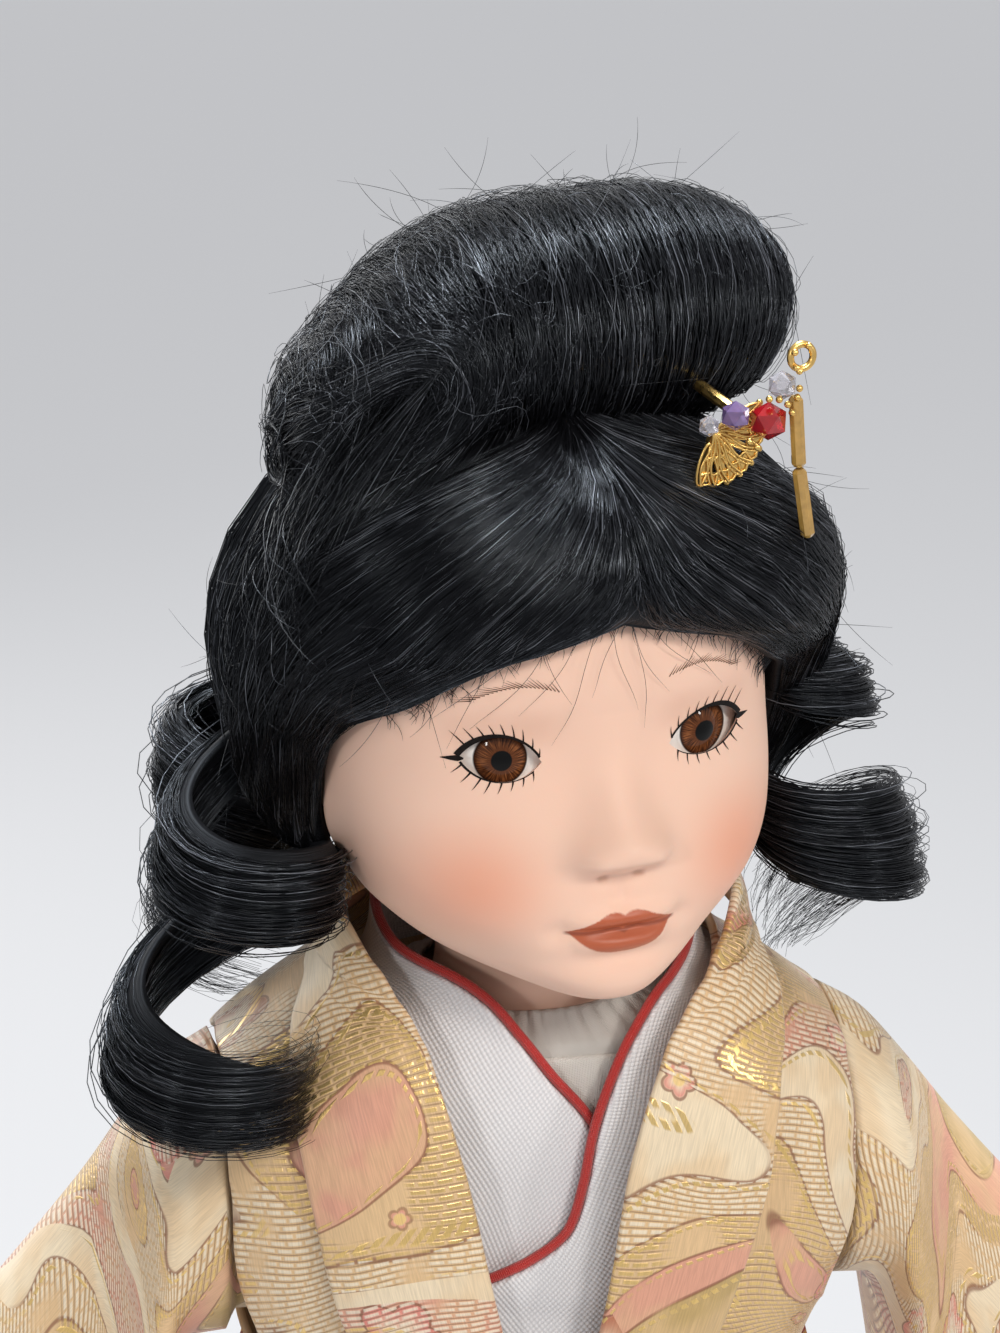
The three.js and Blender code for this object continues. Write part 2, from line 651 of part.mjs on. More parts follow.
function formPoint(angle, z, offset) {
  const at = (a, h) => {
    const depth = Math.cos(a) > 0 ? formFront(h) : formBack(h);
    const power = formPower(h);
    const r = (Math.abs(Math.sin(a)) / formWidth(h)) ** power + (Math.abs(Math.cos(a)) / depth) ** power;
    return around(r ** (-1 / power), a, h);
  };
  const across = at(angle + 0.01, z).sub(at(angle - 0.01, z));
  const up = at(angle, z + 0.3).sub(at(angle, z - 0.3));
  return at(angle, z).addScaledVector(across.cross(up).normalize(), offset);
}

const layer = (index) => [layerStep * index + layerStart, layerStep * index + layerStart + clothWall];

// A strip of cloth on the form between two edges, each a list of [angle, height] pairs.
function strip(innerEdge, outerEdge, columns, rows, level) {
  const trace = (edge) => {
    const last = edge.length - 1;
    const angle = curveThrough(edge.map((p, i) => [i / last, p[0]]));
    const height = curveThrough(edge.map((p, i) => [i / last, p[1]]));
    return (v) => [angle(v), height(v)];
  };
  const near = trace(innerEdge);
  const far = trace(outerEdge);
  const [low, high] = layer(level);
  return panel((u, v, offset) => {
    const a = near(v);
    const b = far(v);
    return formPoint(radians(lerp(a[0], b[0], u)), lerp(a[1], b[1], u), offset);
  }, columns, rows, low, high);
}

const mirrored = (edge, side) => edge.map(([angle, z]) => [side * angle, z]);

// Shoulder plate, with the neck's cup and the hollows where the arms turn
function ovalRing(z, halfWidth, front, back, count) {
  return steps(count - 1, 0, Math.PI * 2 * (count - 1) / count).map((a) => {
    const depth = Math.cos(a) > 0 ? front : back;
    const power = 2.3;
    const r = (Math.abs(Math.sin(a)) / halfWidth) ** power + (Math.abs(Math.cos(a)) / depth) ** power;
    return around(r ** (-1 / power), a, z);
  });
}

const cupFloor = neckBallHeight - neckBall - plateWall;
const plateThickness = 4.4;

function shoulderPlate() {
  const wide = plateHalfWidth;
  const back = backDepth - 1.5;
  const outer = [[plateBottom, wide - 1.2, chestDepth - 2.2, back],
    [plateBottom + 10, wide - 1, chestDepth - 2.6, back], [chest(-5), wide, chestDepth - 3.8, back],
    [plateRim - 11, wide - 2, chestDepth - 5, back], [plateRim - 6, wide - 7, cupRim + 1.2, back - 0.2],
    [plateRim - 2.5, wide - 14, cupRim + 0.4, cupRim + 0.2], [plateRim, cupRim, cupRim, cupRim]];
  const thin = wide - plateThickness;
  const inner = [[plateBottom - 1, thin, chestDepth - 5.6, back - 3.2],
    [plateBottom + 10, thin, chestDepth - 6, back - 3.2],
    [cupFloor - 7, thin - 0.6, chestDepth - 7, back - 3.4],
    [cupFloor - 1.5, thin - 6.6, chestDepth - 10.6, back - 5.8],
    [cupFloor, thin - 11.6, chestDepth - 14.6, back - 8.8]];
  const solid = loft(outer.map((row) => ovalRing(...row, 20)));
  const hollow = loft(inner.map((row) => ovalRing(...row, 14)));
  const cup = new THREE.SphereGeometry(neckBall + gap * 1.6, 16, 9).translate(0, 0, neckBallHeight);
  const hole = new THREE.CylinderGeometry(boltRadius + gap, boltRadius + gap, 20, 10).rotateX(Math.PI / 2);
  hole.translate(0, 0, cupFloor);
  const arm = upperArmRadius + jointReach;
  const sideHollow = [-1, 1].map((side) => new THREE.CylinderGeometry(arm, arm, 24, 14).rotateZ(Math.PI / 2)
    .translate(side * wide, 0, shoulderHeight));
  return cut(solid, hollow, cup, hole, ...sideHollow);
}

function clothBody() {
  const wide = plateHalfWidth - plateThickness - gap;
  const top = cupFloor - 4;
  const hipTop = hipHeight + thighRadius;
  const front = chestDepth - 6.6;
  const back = backDepth - 4.9;
  const rows = [[hipTop + layerStart, waistHalfWidth - 7, 16, 16],
    [hipTop + 9, waistHalfWidth - 2.5, waistFront - 5, waistBack - 7.5],
    [chest(60), waistHalfWidth - 4.5, waistFront - 4, waistBack - 8.5],
    [chest(42), waistHalfWidth - 5.5, waistFront - 4, back + 1.2], [chest(25), wide - 2.75, front, back],
    [plateBottom + 4, wide - 1.2, front - 0.2, back - 0.5], [chest(6), wide - 1, front - 0.6, back - 0.8],
    [top - 2, wide - 5, front - 3, back - 2.2], [top, wide - 10, front - 7, back - 4.9]];
  const solid = loft(rows.map((row) => ovalRing(...row, 14)));
  const recess = new THREE.CylinderGeometry(neckBore, neckBore, 30, 12).rotateX(Math.PI / 2);
  recess.translate(0, 0, cupFloor - boltLength + 20);
  const bores = [-1, 1].map((side) => new THREE.CylinderGeometry(wireRadius + gap, wireRadius + gap, 40, 8)
    .rotateZ(Math.PI / 2).translate(side * (shoulderSpread - wireReach + 12), 0, shoulderHeight));
  return cut(solid, recess, ...bores);
}

// Neck fastener, from the floor of the head's neck down through the cup
const neckFloor = neckBallHeight - neckBall * 0.66;

function neckBolt() {
  const top = neckFloor + gap;
  return turned([[0, top - boltLength - 1], [boltRadius, top - boltLength], [boltRadius, top],
    [boltHead, top], [boltHead, top + 1.8], [boltHead - 1.4, top + 2.8], [0, top + 2.8]], 10);
}

const washerTop = cupFloor - gap;
const springTop = washerTop - washerThickness - gap;
const nutTop = springTop - springLength - springWire - gap;

function neckWasher() {
  const bore = boltRadius + gap;
  return turned([[bore, washerTop - washerThickness], [springRadius + 1.5, washerTop - washerThickness],
    [springRadius + 1.5, washerTop], [bore, washerTop], [bore, washerTop - washerThickness]], 10);
}

function neckSpring() {
  const turnsAt = steps(springTurns * 8, 0, 1);
  const points = turnsAt.map((t) => {
    const a = t * springTurns * Math.PI * 2;
    const z = springTop - springWire - t * (springLength - springWire);
    return spot(springRadius * Math.cos(a), springRadius * Math.sin(a), z);
  });
  return cord(points, springWire, springTurns * 8, 5);
}

function neckNut() {
  const bore = boltRadius + gap;
  const low = nutTop - nutThickness;
  return turned([[bore, low], [nutRadius, low], [nutRadius, nutTop], [bore, nutTop], [bore, low]], 6);
}

// Undershirt: a gathered yoke round the foot of the neck
function undershirt() {
  const ring = (r, front, back, z) => ovalRing(z, r, front, back, 20);
  const stand = neckRadius + 1.6;
  const hem = stand + 1.2;
  const rim = cupRim;
  const outer = [[rim + 10.2, rim + 1.9, rim + 1.5, plateRim - 2],
    [rim + 4, rim + 1.2, rim + 0.9, plateRim + 1.2], [rim - 1.2, rim - 0.8, rim - 0.8, plateRim + 3],
    [hem, hem, hem, plateRim + 5.4]];
  const inner = [[stand, stand, stand, plateRim + 4.4], [rim - 2, rim - 1.6, rim - 1.6, plateRim + 1.7],
    [rim + 3, rim + 0.3, rim, plateRim + 0.5], [rim + 9.2, rim + 0.9, rim + 0.6, plateRim - 2]];
  return loft([...outer, ...inner].map((row) => ring(...row)), true);
}

const lapelLow = bodiceBottom + 4;

// Under-robe collars and their pipings; the doll's left side lies over the right
const rightPipe = [[-178, collarTop - 6], [-110, collarTop - 4], [-66, throat(13.5)], [-42, throat(11.8)],
  [-26, throat(9)], [-13, throat(4)], [-2, yoke(0.94)], [10, yoke(0.7)], [20, yoke(0.33)]];
const leftPipe = [[178, collarTop - 6], [110, collarTop - 4], [70, throat(11)], [41, throat(6.5)],
  [23, throat(-0.5)], [13.5, yoke(0.64)], [9.5, yoke(0.36)], [4, yoke(0.09)], [-8, chest(2)], [-28, chest(6)]];
const rightUnder = [[-178, throat(2)], [-120, throat(2)], [-80, throat(3)], [-60, yoke(0.88)],
  [-50, yoke(0.58)], [-40, yoke(0.12)], [-32, chest(13)]];
const leftUnder = [[178, throat(2)], [120, throat(2)], [80, throat(3)], [64, yoke(0.96)], [52, yoke(0.42)],
  [40, chest(3)], [28, chest(17)], [8, lapelLow + 2]];

function piping(edge, level) {
  const last = edge.length - 1;
  const angle = curveThrough(edge.map((p, i) => [i / last, p[0]]));
  const height = curveThrough(edge.map((p, i) => [i / last, p[1]]));
  const stand = layer(level)[1] - clothWall / 2;
  const points = steps(24, 0.03, 0.99).map((t) => {
    const here = formPoint(radians(angle(t)), height(t), stand);
    const ahead = formPoint(radians(angle(t + 0.01)), height(t + 0.01), stand).sub(here).normalize();
    const out = formPoint(radians(angle(t)), height(t), stand + 1).sub(here).normalize();
    const aside = ahead.cross(out).multiplyScalar(Math.sign(edge[0][0]));
    return here.addScaledVector(aside, pipingRadius + gap);
  });
  return cord(points, pipingRadius, 24, 5);
}

// Kimono body halves, each one length of cloth from the front waist over the shoulder to the back waist
const halfInner = [[14, bodiceBottom], [20, chest(21)], [28, chest(1)], [36, yoke(0.65)], [52, throat(2)],
  [74, throat(8)], [105, throat(11)], [150, throat(10)], [172, throat(8)], [179, yoke(0.96)], [179, chest(7)],
  [179, bodiceBottom]];
const halfOuter = [[54, bodiceBottom], [59, chest(29)], [62, chest(13)], [66, yoke(0.19)], [75, yoke(0.615)],
  [85, yoke(0.708)], [95, yoke(0.708)], [105, yoke(0.615)], [113, yoke(0.19)], [116, chest(13)],
  [120, chest(29)], [125, bodiceBottom]];
const leftInner = [[-8, lapelLow], [3, chest(19)], [10, chest(7)], [20, yoke(0.58)], [30, throat(0)],
  [50, throat(9)], [78, collarTop - 2], [115, collarTop], [179, collarTop]];
const leftOuter = [[22, lapelLow], [33, chest(19)], [41, chest(7)], [49, yoke(0.27)], [55, yoke(0.68)],
  [67, yoke(0.942)], [88, throat(4)], [120, throat(7)], [179, throat(7)]];
const rightInner = [[-2, lapelLow], [-14, chest(19)], [-20, chest(7)], [-30, yoke(0.58)], [-39, throat(1)],
  [-54, throat(10)], [-80, collarTop - 2], [-115, collarTop], [-179, collarTop]];
const rightOuter = [[-34, lapelLow], [-45, chest(19)], [-51, chest(7)], [-57, yoke(0.34)], [-63, yoke(0.7)],
  [-74, yoke(0.95)], [-92, throat(4)], [-122, throat(7)], [-179, throat(7)]];

// Sash and cord
function obi() {
  const sides = 28;
  const angles = steps(sides - 1, 0, 360 * (sides - 1) / sides);
  const ring = (z, offset) => angles.map((a) => formPoint(radians(a), z, obiLow(a) + offset).setZ(z));
  const heights = [obiBottom, lerp(obiBottom, obiTop, 0.5), obiTop];
  const outer = heights.map((z) => ring(z, obiWall));
  return loft([...outer, ...heights.slice().reverse().map((z) => ring(z, 0))], true);
}

// The sash stands off over the lapels in front and lies closer round the sides and back.
function obiLow(angle) {
  const turn = Math.abs(THREE.MathUtils.euclideanModulo(angle + 180, 360) - 180);
  return lerp(layer(5)[0], layer(3)[0] + 0.4, smooth(turn, 42, 84));
}

const obiFace = (angle, z, clear) => formPoint(radians(angle), z, obiLow(angle) + obiWall + clear);
const cordHeight = lerp(obiBottom, obiTop, 0.5);

function obiBow() {
  const cordBack = obiFace(180, cordHeight, 2 * cordRadius + gap * 1.5).y;
  const back = Math.max(cordBack, obiFace(180, obiBottom, 0).y) + gap;
  const rows = [[0, 0.9, 0.86], [0.08, 0.97, 0.95], [0.5, 1, 1], [0.88, 0.97, 0.94], [1, 0.88, 0.84]];
  const half = (obiTop - obiBottom) / 2 + 1;
  const rings = rows.map(([t, wide, tall]) => steps(15, 0, Math.PI * 2 * 15 / 16).map((a) => {
    const square = (Math.abs(Math.cos(a)) ** 5 + Math.abs(Math.sin(a)) ** 5) ** -0.2;
    const x = bowHalfWidth * wide * square * Math.cos(a);
    const z = cordHeight + half * tall * square * Math.sin(a);
    return spot(x, back + t * bowDepth + 2.5 * (1 - (x / bowHalfWidth) ** 2) * t, z);
  }));
  return loft(rings);
}

function obiCord() {
  const path = steps(35, 0, 350).map((a) => obiFace(a, cordHeight, cordRadius + gap * 1.5));
  return cord(path, cordRadius, 24, 5, true);
}

// Looped knot of the cord, low on the doll's left breast above the sash
function cordBow() {
  const seat = obiFace(38, obiTop - 2, cordRadius * 2 + gap);
  const out = obiFace(38, obiTop - 2, cordRadius * 2 + gap + 1).sub(seat).normalize();
  const side = spot(0, 0, 1).cross(out).normalize();
  const up = out.clone().cross(side).normalize();
  const petals = [110, 40, 250].map((turn) => {
    const lean = radians(turn);
    const way = side.clone().multiplyScalar(Math.cos(lean)).addScaledVector(up, Math.sin(lean));
    const across = out.clone().cross(way);
    const loop = steps(7, 0, 7 / 8).map((t) => seat.clone()
      .addScaledVector(way, petalLength * 0.5 * (1 - Math.cos(t * Math.PI * 2)))
      .addScaledVector(across, petalLength * 0.24 * Math.sin(t * Math.PI * 2)));
    return cord(loop, cordRadius * 0.85, 10, 5, true);
  });
  const knot = new THREE.SphereGeometry(cordRadius * 2, 8, 5).translate(seat.x, seat.y, seat.z);
  return join(knot, ...petals);
}

// Skirt
const skirtSwell = curveThrough([[0, 1], [0.16, 0.9], [0.36, 0.66], [0.6, 0.38], [0.83, 0.14], [1, 0]]);
const skirtWaistWidth = waistHalfWidth + obiLow(90) + obiWall / 2;
const skirtWaistDepth = waistFront + obiLow(0) + obiWall / 2;

function skirtPoint(angle, z, offset) {
  const flare = skirtSwell(z / skirtTop);
  const halfWidth = lerp(skirtWaistWidth, hemHalfWidth - foldDepth, flare);
  const halfDepth = lerp(skirtWaistDepth, hemHalfDepth - foldDepth, flare) - layerStep;
  const fold = foldDepth * flare * Math.cos(10 * angle);
  const r = 1 / Math.hypot(Math.sin(angle) / halfWidth, Math.cos(angle) / halfDepth);
  return around(r + fold + offset, angle, z);
}

function skirtPanel(from, to, columns, liftAt) {
  return panel((u, v, offset) => {
    const z = lerp(0, skirtTop, v ** 0.85);
    return skirtPoint(radians(lerp(from, to, u)), z, offset + layerStep * liftAt(u));
  }, columns, 6, -clothWall, 0);
}

// Arms hang from the shoulder along -Z of a tilted group
function armGroup(side) {
  const arm = new THREE.Group();
  arm.position.set(side * shoulderSpread, 0, shoulderHeight);
  arm.rotation.y = -side * radians(armTilt);
  doll.add(arm);
  return arm;
}

function round(rows, sides) {
  return loft(rows.map(([z, rx, ry, x = 0, y = 0]) => steps(sides - 1, 0, Math.PI * 2 * (sides - 1) / sides)
    .map((a) => spot(x + rx * Math.cos(a), y + ry * Math.sin(a), z))));
}

const shoulderFace = plateHalfWidth + 1.5;

function upperArm(side) {
  const r = upperArmRadius;
  const limb = round([[r * 0.9, 4, 4], [r * 0.7, r * 0.75, r * 0.75], [0, r, r], [-20, r * 0.92, r * 0.92],
    [-upperArmLength + 4, r * 0.78, r * 0.78], [-upperArmLength, r * 0.55, r * 0.55]], 10);
  const inside = shoulderSpread - shoulderFace;
  const wall = new THREE.BoxGeometry(40, 60, 80).translate(-side * (20 + inside), 0, 0);
  wall.rotateY(radians(armTilt) * side);
  return cut(limb, wall, wire(side, wireRadius + gap));
}

// The wire lies on the shoulder's turning axis inside the body, then bends down the arm.
function wirePath(side) {
  const inward = spot(-side, 0, 0).applyAxisAngle(spot(0, 1, 0), radians(armTilt) * side);
  return [inward.clone().multiplyScalar(wireReach), inward.clone().multiplyScalar(6), spot(0, 0, -5),
    spot(0, 0, -upperArmLength * 0.5), spot(0, 0, -upperArmLength * 0.8)];
}

const wire = (side, radius) => cord(wirePath(side), radius, 10, 5);

const sleeveCap = 21.2;

function sleeveSection(x, shrink) {
  const share = (x - sleeveSeam) / (sleeveEnd - sleeveSeam);
  const slope = 1 / Math.tan(radians(armTilt));
  const tuck = x < sleeveSeam ? 3.6 : 0;
  const axis = shoulderHeight - (x - shoulderSpread) * slope;
  const top = curveThrough([[sleeveSeam, yoke(0.908)], [sleeveSeam + 6.2, chest(-19.5)],
    [sleeveSeam + 13.2, chest(-11.5)], [sleeveSeam + sleeveCap, chest(-1)],
    [sleeveEnd, chest(-1) - (sleeveLength - sleeveCap) * slope * 0.96]])(x) - tuck;
  const hang = smooth(x, sleeveSeam + 7.2, sleeveSeam + sleeveCap - 1);
  const drop = sleeveDrop * (1 - 0.1 * smooth(share, 0.55, 1));
  const bottom = lerp(Math.min(axis - 20, shoulderHeight - 24) + tuck, top - drop, hang);
  const half = (top - bottom) / 2;
  const middle = (top + bottom) / 2;
  return steps(15, 0, Math.PI * 2 * 15 / 16).map((a) => {
    const tall = Math.abs(Math.sin(a)) ** lerp(1, 0.8, hang) * Math.sign(Math.sin(a));
    const z = middle + (half - shrink) * tall;
    const low = smooth((top - z) / sleeveDrop, 0.3, 0.75);
    const seam = smooth(share, 0.9, 1) * smooth((top - z) / sleeveDrop, 0.7, 0.8);
    const open = lerp(sleeveHalfDepth + (1 - hang) * 4 - tuck * 0.6, pouchHalfDepth, low);
    const depth = lerp(open, clothWall + 0.6, seam) - shrink;
    const wave = hang * 2 * low * Math.sin(x * 0.16 + 1);
    return spot(x, wave + depth * Math.cos(a), z);
  });
}

function sleeve(side) {
  const cap = [-sleeveTuck, -0.6, 0, 5.2, 10.2, 15.2, sleeveCap].map((reach) => sleeveSeam + reach);
  const hanging = [0.25, 0.54, 0.82, 1].map((share) => lerp(sleeveSeam + sleeveCap, sleeveEnd, share));
  const stations = [...cap, ...hanging];
  const outer = stations.map((x) => sleeveSection(x, 0));
  const inner = stations.map((x) => sleeveSection(x, clothWall)).reverse();
  const flip = (ring) => ring.map((p) => spot(side * p.x, p.y, p.z));
  return loft([...outer, ...inner].map(flip), true);
}

// Forearm with the hand, hanging along -Z from the elbow
function forearm(side) {
  const w = wristRadius;
  const palm = forearmLength + handLength * 0.42;
  const limb = round([[w * 0.88, w * 0.2, w * 0.2], [w * 0.6, w * 0.65, w * 0.65], [0, w * 0.9, w * 0.9],
    [-4, w * 1.2, w * 1.2], [-6, w * 1.02, w * 1.02], [-9, w * 1.3, w * 1.3],
    [-20, w * 1.32, w * 1.3], [-34, w * 1.06, w * 1.02], [-forearmLength, w * 0.86, w * 0.74],
    [-forearmLength - 5, w * 0.72, w * 1.06], [-palm, w * 0.6, w * 1.16],
    [-palm - 2.5, w * 0.4, w * 0.9]], 10);
  const finger = (y, reach, r, lean) => {
    const joint = (share, thick, curve, drift) => [-palm - reach * share, r * thick, r * thick, -side * curve,
      y + lean * drift];
    return round([[-palm + 3, r, r, 0, y], joint(0.5, 1.02, 0.6, 1), joint(0.9, 0.85, 1.8, 1.6),
      joint(1, 0.4, 2.2, 1.7)], 6);
  };
  const long = handLength * 0.58;
  const fingers = [finger(-4.6, long * 0.88, 1.55, -0.5), finger(-1.6, long, 1.62, -0.1),
    finger(1.5, long * 0.94, 1.58, 0.2), finger(4.4, long * 0.76, 1.4, 0.7)];
  const wrist = -forearmLength;
  const thumb = round([[wrist - 2, 1.5, 2, -side * 1, -4], [wrist - 8, 1.8, 1.9, -side * 2.4, -7],
    [wrist - 14, 1.5, 1.5, -side * 3.4, -8.4], [wrist - 16.5, 0.7, 0.7, -side * 3.8, -8.8]], 6);
  return join(limb, ...fingers, thumb);
}

function armTie() {
  const ring = new THREE.TorusGeometry(wristRadius * 1.02 + gap + tieRadius, tieRadius, 5, 10);
  return ring.translate(0, 0, -6.2);
}

// Legs
const heelShare = 0.3;

function lowerLeg(side) {
  const x = side * hipSpread;
  const r = ankleRadius;
  const shin = (share) => lerp(ankleHeight, kneeHeight, share);
  const limb = round([[kneeHeight, r * 1.2, r * 1.2, x], [kneeHeight - 6, r * 1.32, r * 1.32, x],
    [shin(0.64), r * 1.35, r * 1.5, x, 1], [shin(0.3), r * 1.08, r * 1.12, x, 1],
    [ankleHeight + 4, r * 0.94, r * 0.98, x], [ankleHeight - 8, r * 1.02, r * 1.2, x, -1],
    [soleThickness + gap, r * 0.9, r * 1.1, x, 0]], 10);
  const heel = footLength * heelShare;
  const wide = footHalfWidth;
  const rows = [[-heel, wide - 4, 5], [-heel + 4, wide - 1, 11], [0, wide, 15], [12, wide, 14], [22, wide, 9],
    [footLength - heel - 4, wide - 1, 7.4], [footLength - heel, wide - 4, 4.6]];
  const foot = loft(rows.map(([front, half, tall]) => steps(9, 0, Math.PI * 2 * 9 / 10).map((a) => {
    const z = soleThickness + gap + Math.max(0, tall * 0.42 + tall * 0.58 * Math.sin(a));
    return spot(x + half * Math.cos(a) * (Math.sin(a) < 0 ? 1 : 0.96), -front, z);
  })));
  return join(limb, foot);
}

function thigh(side) {
  const x = side * hipSpread;
  const r = thighRadius;
  const cap = [80, 55, 28].map(radians).map((a) => {
    return [hipHeight + r * Math.sin(a), r * Math.cos(a), r * Math.cos(a), x];
  });
  const femur = (share) => lerp(kneeHeight, hipHeight, share);
  return round([...cap, [hipHeight, r, r, x], [femur(0.6), r * 0.98, r * 0.98, x],
    [femur(0.25), r * 0.84, r * 0.86, x], [kneeHeight + 5, r * 0.72, r * 0.74, x],
    [kneeHeight + gap, r * 0.62, r * 0.62, x]], 12);
}

function sandalSole(side) {
  const heel = footLength * heelShare + soleMargin;
  const toe = footLength * (1 - heelShare) + soleMargin;
  const half = footHalfWidth + soleMargin;
  const outline = new THREE.Shape();
  outline.moveTo(-half * 0.8, heel - 6);
  outline.bezierCurveTo(-half * 0.8, heel + 2, half * 0.8, heel + 2, half * 0.8, heel - 6);
  outline.bezierCurveTo(half * 0.8, 0, half, -toe * 0.3, half, -toe * 0.55);
  outline.bezierCurveTo(half, -toe * 1.14, -half, -toe * 1.14, -half, -toe * 0.55);
  outline.bezierCurveTo(-half, -toe * 0.3, -half * 0.8, 0, -half * 0.8, heel - 6);
  const options = { depth: soleThickness, bevelEnabled: false, curveSegments: 6 };
  const sole = new THREE.ExtrudeGeometry(outline, options);
  return sole.translate(side * hipSpread, 0, 0);
}

function sandalThong(side) {
  const x = side * hipSpread;
  const edge = footHalfWidth + thongRadius + gap;
  const low = soleThickness + gap + 0.8;
  const half = [[edge, -6, low], [edge, -11, low + 5.5], [edge * 0.74, -17, low + 12]];
  const path = [...half.map(([out, y, z]) => spot(x - out, y, z)), spot(x, -23, low + 13.2),
    ...half.reverse().map(([out, y, z]) => spot(x + out, y, z))];
  return cord(path, thongRadius, 12, 5);
}

// Assembly: head
piece('head_shell', headShell(), bisque(), head);
piece('crown_pate', crownPate(), matter('#d8cbb4', 0.9), head);
for (const [side, name] of [[-1, 'right'], [1, 'left']]) {
  const ball = piece(`${name}_eye`, eye(), matter('#f4f1ea', 0.1), head);
  ball.position.copy(eyeCentre(side));
  ball.rotation.x = Math.PI / 2;
}
piece('wig_cap', wigCap(), hair(), head);
piece('wig_topknot', topknot(), hair(), head);
piece('right_front_curl', sideCurl(-1), hair(), head);
piece('left_front_curl', sideCurl(1), hair(), head);
piece('right_back_curl', backCurl(-132), hair(), head);
piece('left_back_curl', backCurl(132), hair(), head);
piece('nape_curl', backCurl(180), hair(), head);
piece('hairpin', hairpin(pinRadius), gold(), head);
piece('filigree_leaf', filigreeLeaf(), gold(), head);
const bead = (radius) => new THREE.SphereGeometry(radius, 8, 6);
piece('red_bead', bead(beadRadius), matter('#a3161b', 0.15), head).position.copy(redSpot);
piece('violet_bead', bead(smallBeadRadius), matter('#6d5a86', 0.15), head).position.copy(violetSpot);
piece('clear_bead', bead(smallBeadRadius), matter('#d9d6df', 0.1), head).position.copy(clearSpot);
piece('gold_loop', new THREE.TorusGeometry(loopRadius, loopWire, 5, 14).rotateX(Math.PI / 2), gold(), head)
  .position.copy(loopSpot);
const upperDrop = piece('upper_drop', dropBead(), gold(), head);
upperDrop.position.copy(dropSpot);
upperDrop.rotation.y = -radians(dropLean);
const lowerDrop = piece('lower_drop', dropBead(), gold(), head);
const dropStep = dropLength + gap;
const lean = radians(dropLean);
lowerDrop.position.copy(dropSpot).add(spot(dropStep * Math.sin(lean), 0, -dropStep * Math.cos(lean)));
lowerDrop.rotation.y = -radians(dropLean * 2);
piece('neck_bolt', neckBolt(), steel(), head);
piece('neck_nut', neckNut(), steel(), head);

// Assembly: body and robes
piece('shoulder_plate', shoulderPlate(), bisque());
piece('cloth_body', clothBody(), calico());
piece('neck_washer', neckWasher(), steel());
piece('neck_spring', neckSpring(), steel());
piece('undershirt', undershirt(), whiteSilk());
piece('under_robe_right', strip(rightPipe, rightUnder, 4, 14, 0), whiteSilk());
piece('under_robe_left', strip(leftPipe, leftUnder, 4, 16, 1), whiteSilk());
piece('right_piping', piping(rightPipe, 0), redSilk());
piece('left_piping', piping(leftPipe, 1), redSilk());
piece('bodice_right', strip(mirrored(halfInner, -1), mirrored(halfOuter, -1), 4, 16, 2), brocade());
piece('bodice_left', strip(halfInner, halfOuter, 4, 16, 2), brocade());
piece('lapel_right', strip(rightInner, rightOuter, 3, 16, 3), brocade());
piece('lapel_left', strip(leftInner, leftOuter, 3, 16, 4), brocade());
piece('obi', obi(), matter('#8c2f24', 0.55));
piece('obi_bow', obiBow(), matter('#8c2f24', 0.55));
piece('obi_cord', obiCord(), whiteSilk());
piece('cord_bow', cordBow(), whiteSilk());
piece('skirt_back', skirtPanel(90.4, 269.6, 20, (u) => Math.sin(Math.PI * u)), brocade());
piece('skirt_right', skirtPanel(-89.6, 18, 13, () => 0), brocade());
piece('skirt_left', skirtPanel(-26, 89.6, 14, (u) => 1 - smooth(u, 0.45, 1)), brocade());

// Assembly: limbs
for (const [side, name] of [[-1, 'right'], [1, 'left']]) {
  const arm = armGroup(side);
  piece(`${name}_upper_arm`, upperArm(side), calico(), arm);
  piece(`${name}_arm_wire`, wire(side, wireRadius), steel(), arm);
  const elbow = new THREE.Group();
  elbow.position.z = -upperArmLength - gap - wristRadius * 0.88;
  elbow.rotation.y = side * radians(elbowTilt);
  arm.add(elbow);
  piece(`${name}_forearm`, forearm(side), bisque(), elbow);
  piece(`${name}_arm_tie`, armTie(), calico(), elbow);
  piece(`${name}_sleeve`, sleeve(side), brocade());
  piece(`${name}_thigh`, thigh(side), calico());
  piece(`${name}_lower_leg`, lowerLeg(side), bisque());
  piece(`${name}_sandal_sole`, sandalSole(side), matter('#3a2018', 0.5));
  piece(`${name}_sandal_thong`, sandalThong(side), redSilk());
}

export default doll;
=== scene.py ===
import math

import bmesh
import bpy
import numpy as np
from mathutils import Matrix, Vector


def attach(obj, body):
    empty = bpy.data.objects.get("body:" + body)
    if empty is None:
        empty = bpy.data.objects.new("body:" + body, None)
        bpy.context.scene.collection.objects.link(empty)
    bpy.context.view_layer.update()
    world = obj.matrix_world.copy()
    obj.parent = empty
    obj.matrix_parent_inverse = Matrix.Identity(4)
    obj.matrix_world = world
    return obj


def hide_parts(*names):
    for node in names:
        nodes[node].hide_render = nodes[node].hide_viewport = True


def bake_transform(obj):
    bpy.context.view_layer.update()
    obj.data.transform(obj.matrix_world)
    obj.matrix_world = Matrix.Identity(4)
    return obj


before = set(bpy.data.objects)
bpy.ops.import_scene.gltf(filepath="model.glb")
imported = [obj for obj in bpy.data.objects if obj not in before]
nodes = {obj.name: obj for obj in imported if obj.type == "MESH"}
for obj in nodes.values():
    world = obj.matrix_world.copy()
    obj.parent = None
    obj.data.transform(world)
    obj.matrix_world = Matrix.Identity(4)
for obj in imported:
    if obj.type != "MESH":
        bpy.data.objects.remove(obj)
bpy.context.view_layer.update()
random = np.random.default_rng(7)
scene = bpy.context.scene
bothSides = ((-1, "right"), (1, "left"))
fullTurn = 2 * math.pi
# random phases are drawn from almost a full turn
phaseSpan = 6.28
# a millimetre in metres
mm = 0.001
# millimetres to one unit of a UV map
clothSpan, faceSpan, eyeSpan = 200, 100, 20


